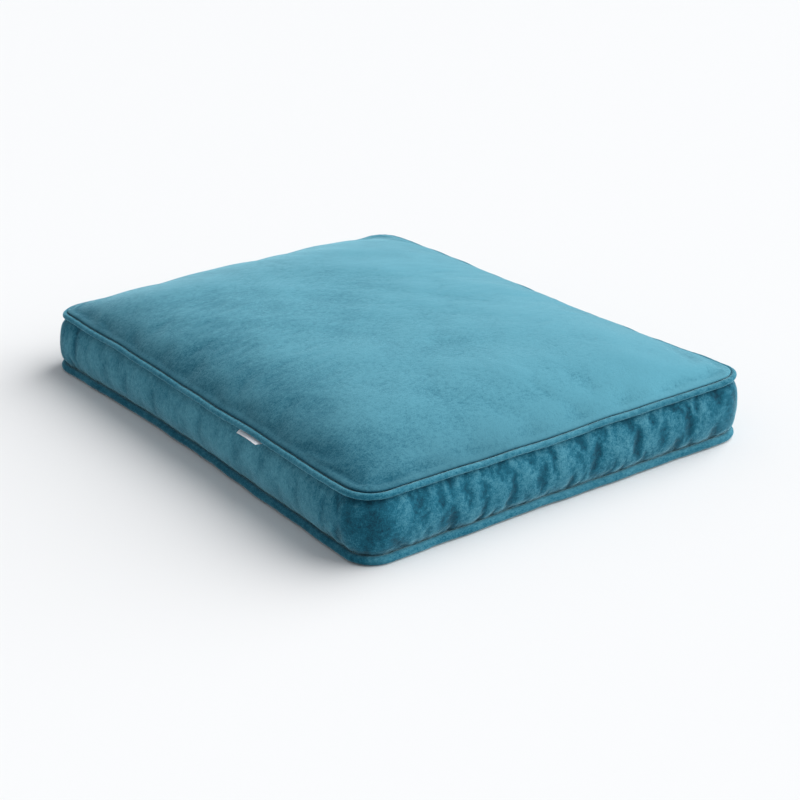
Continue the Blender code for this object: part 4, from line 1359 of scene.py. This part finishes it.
class CUSHION_OT_label(bpy.types.Operator):
    """Make the blank folded label, flaring out from under the top piping"""

    bl_idname = "cushion.label"
    bl_label = "Label"

    COLUMNS, ROWS = 26, 14
    ROOT_OUT, LAYER_GAP, THICKNESS = 0.0058, 0.00028, 0.00025

    def execute(self, context):
        low, high = LABEL_LOW.x, LABEL_HIGH.x
        x = np.linspace(low, high, self.COLUMNS)
        share = (x - low) / (high - low)
        arc = outline_of(np.column_stack([x, np.full(len(x), -HALF_Y)]))[2]
        shift_out, shift_up = seam_shift(arc, True)
        reach = sizes().top_piping + 0.0012 + 0.0054 * share
        root_z = TOP_SEAM + shift_up - sizes().top_piping - 0.0003 - 0.0006 * (1 - share)
        down = [(1, t) for t in np.linspace(0, 1, self.ROWS)]
        rows = []
        for layer, t in down + [(-1, t) for _, t in reversed(down)]:
            out = self.ROOT_OUT * -0.4 * (1 - t) + reach * t + shift_out
            wave = 0.0010 * t * t * share + 0.0004 * np.sin(share * 2.6) * t
            droop = wave - 0.0034 * t * t * (1 - share)
            lift = self.LAYER_GAP * layer * (0.55 + 0.9 * math.sin(math.pi * t) * share)
            rows.append(np.column_stack([x, -HALF_Y - out, root_z + droop + lift]))
        faces = [(a, d, c, b) for a, b, c, d in quads(len(rows), len(x))]
        label = new_object("folded_label", mesh_of("label", np.concatenate(rows), faces))
        thicken(label, self.THICKNESS)
        finished(label, "label_satin", "side_label", material=satin())
        return {"FINISHED"}


# The insert inside the cover


def closed_pad(inset, wall, top, bottom, fine=0.0025, fine_count=5, coarse=0.016):
    """A pad's faces and its lower and upper points. Its rim follows a wall of (share of the rim, inset, z)
    below and above, and its middle follows two height functions."""
    places, faces = rounded_grid(fine, fine_count, coarse, inset)
    depth, outward, _ = outline_of(places)
    depth = depth - inset
    share = np.clip(depth / (fine * fine_count), 0, 1)
    layers = []
    for height, run in zip((bottom, top), wall):
        shares, insets, levels = np.array(run).T
        pulled = np.interp(share, shares, insets)
        flat = places + outward * (np.where(share < 1, depth - pulled, 0))[:, None]
        mix = np.clip((share - shares[-2]) / (1 - shares[-2]), 0, 1)
        z = np.interp(share, shares, levels) * (1 - mix) + height(flat) * mix
        layers.append(np.column_stack([flat, z]))
    return faces, layers


def at_height(z):
    return lambda flat: np.full(len(flat), z)


class CUSHION_OT_insert(bpy.types.Operator):
    """Make the insert: a liner in two halves, wadding above and below, and a foam slab"""

    bl_idname = "cushion.insert"
    bl_label = "Insert"

    def under(self, piece):
        """A function from places to the height of the cloth above them."""
        tree = BVHTree.FromPolygons(
            [tuple(v.co) for v in piece.data.vertices], [tuple(p.vertices) for p in piece.data.polygons]
        )

        def height(places):
            found = []
            for x, y in places:
                hit = tree.ray_cast(Vector((x, y, TOP_SEAM + 0.001)), Vector((0, 0, 1)))[0]
                found.append(hit.z if hit else TOP_SEAM + 0.002)
            return np.array(found)

        return height

    LINER_INSET, LINER_FLOOR, LINER_CLOTH, LINER_WEAVE = 0.0064, 0.0021, 0.0006, 0.0008
    LINER_UNDER_COVER, WADDING_UNDER_COVER, PAD_GAP = 0.0016, 0.0032, 0.0003
    LUMP_COUNT, LUMP_SIZE, LUMP_DEPTH = 9, 0.07, 0.0006

    def execute(self, context):
        cover = self.under(bpy.data.objects["top_panel_cloth"])
        self.liner(cover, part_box("liner_bottom")[1].z)
        self.fillings(cover, *(v.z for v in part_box("foam_slab")))
        return {"FINISHED"}

    def liner(self, cover, seam):
        shoulder = TOP_SEAM - 0.0045
        wall_top = (
            (0.0, 0.0, seam + 0.0005), (0.2, 0.0005, seam + 0.016), (0.4, 0.0028, shoulder - 0.006),
            (0.6, 0.0045, shoulder), (0.8, 0.0058, TOP_SEAM - 0.0005), (1.0, 0.0070, TOP_SEAM + 0.0010),
        )
        wall_low = (
            (0.0, 0.0, seam - 0.0005), (0.2, 0.0005, seam - 0.016), (0.4, 0.0028, 0.0110),
            (0.6, 0.0046, 0.0060), (0.8, 0.0058, 0.0030), (1.0, 0.0075, 0.0024),
        )
        cloth = woven("liner_weave", colours().liner, self.LINER_WEAVE, 0.8)
        faces, layers = closed_pad(
            self.LINER_INSET, (wall_low, wall_top),
            lambda flat: cover(flat) - self.LINER_UNDER_COVER, at_height(self.LINER_FLOOR),
        )
        for name, layer, order in zip(("bottom", "top"), layers, (turned_over(faces), faces)):
            piece = new_object(f"liner_{name}_cloth", mesh_of(name, layer, order))
            thicken(piece, self.LINER_CLOTH, levels=0)
            finished(piece, "liner_cloth", f"liner_{name}", material=cloth)

    def fillings(self, cover, low, high):
        chance = np.random.default_rng(71)
        fluff = fibrous("polyester_fibre", colours().wadding, 55.0, 0.0016)

        def quilted(flat):
            """The height of the upper wadding: shallow lumps right under the cover."""
            total = np.zeros(len(flat))
            for _ in range(self.LUMP_COUNT):
                ahead = flat @ direction(chance.uniform(0, math.pi))
                step = self.LUMP_SIZE * chance.uniform(0.7, 1.5)
                total += np.sin(2 * math.pi * ahead / step + chance.uniform(0, 6))
            return cover(flat) - self.WADDING_UNDER_COVER - np.abs(total * self.LUMP_DEPTH / 3)

        under_foam = low - self.PAD_GAP
        for name, node, material, inset, under, edge, top, fill in (
            (
                "wadding_bottom_fibre", "wadding_bottom", fluff, 0.0165, 0.0024, under_foam,
                at_height(under_foam - self.PAD_GAP), 0.6,
            ),
            (
                "foam_block", "foam_slab", cellular(), 0.0120, low, min(high, TOP_SEAM + 0.0005),
                at_height(high), 1.0,
            ),
            (
                "wadding_top_fibre", "wadding_top", fluff, 0.0163, high + 0.0004, TOP_SEAM - 0.004,
                quilted, 0.7,
            ),
        ):
            piece = new_object(name, self.block(name, inset, under, edge, top))
            finished(piece, "foam" if node == "foam_slab" else "wadding", node, material=material)

    def block(self, name, inset, under, edge, top):
        """A closed pad's mesh, its two layers joined at the rim."""
        quarter = (edge - under) / 4
        wall_low = (
            (0.0, 0.0, under + quarter * 1.6), (0.3, 0.0, under + quarter), (0.6, 0.0004, under + 0.0015),
            (0.8, 0.0020, under + 0.0002), (1.0, 0.0045, under),
        )
        wall_top = (
            (0.0, 0.0, under + quarter * 1.6), (0.3, 0.0, edge - quarter), (0.6, 0.0004, edge - 0.0015),
            (0.8, 0.0020, edge - 0.0002), (1.0, 0.0045, edge),
        )
        faces, layers = closed_pad(
            inset, (wall_low, wall_top), top, at_height(under), 0.0015, 6, 0.02,
        )
        edges = {edge for face in faces for edge in zip(face, face[1:] + face[:1])}
        rim = {a for a, b in edges if (b, a) not in edges}
        count = len(layers[0])
        upper = [tuple(v if v in rim else v + count for v in face) for face in faces]
        mesh = mesh_of(name, np.concatenate(layers), turned_over(faces) + upper)
        tidy = bmesh.new()
        tidy.from_mesh(mesh)
        bmesh.ops.delete(tidy, geom=[v for v in tidy.verts if not v.link_faces], context="VERTS")
        tidy.to_mesh(mesh)
        tidy.free()
        return mesh


class CUSHION_PT_panel(bpy.types.Panel):
    """Lists the sizes, the colours and the operators in the 3D view's sidebar"""

    bl_idname = "CUSHION_PT_panel"
    bl_label = "Pet cushion bed"
    bl_space_type = "VIEW_3D"
    bl_region_type = "UI"
    bl_category = "Cushion"

    def draw(self, context):
        for group in (context.scene.cushion_sizes, context.scene.cushion_colours):
            box = self.layout.box()
            for name in group.bl_rna.properties.keys():
                if name not in ("rna_type", "name"):
                    box.prop(group, name)
        for kind in OPERATORS:
            self.layout.operator(kind.bl_idname)


def register():
    for kind in CLASSES:
        bpy.utils.register_class(kind)
    bpy.types.Scene.cushion_sizes = bpy.props.PointerProperty(type=CushionSizes)
    bpy.types.Scene.cushion_colours = bpy.props.PointerProperty(type=CushionColours)


def unregister():
    del bpy.types.Scene.cushion_colours
    del bpy.types.Scene.cushion_sizes
    for kind in reversed(CLASSES):
        bpy.utils.unregister_class(kind)


def main():
    register()
    bpy.ops.cushion.stage()
    bpy.ops.cushion.top_panel()
    bpy.ops.cushion.bottom_panel()
    bpy.ops.cushion.border()
    bpy.ops.cushion.zip_borders()
    bpy.ops.cushion.pipings()
    bpy.ops.cushion.zip()
    bpy.ops.cushion.label()
    bpy.ops.cushion.insert()


OPERATORS = (
    CUSHION_OT_stage, CUSHION_OT_top_panel, CUSHION_OT_bottom_panel, CUSHION_OT_border,
    CUSHION_OT_zip_borders, CUSHION_OT_pipings, CUSHION_OT_zip, CUSHION_OT_label, CUSHION_OT_insert,
)
CLASSES = (CushionSizes, CushionColours, *OPERATORS, CUSHION_PT_panel)

if __name__ == "__main__":
    main()
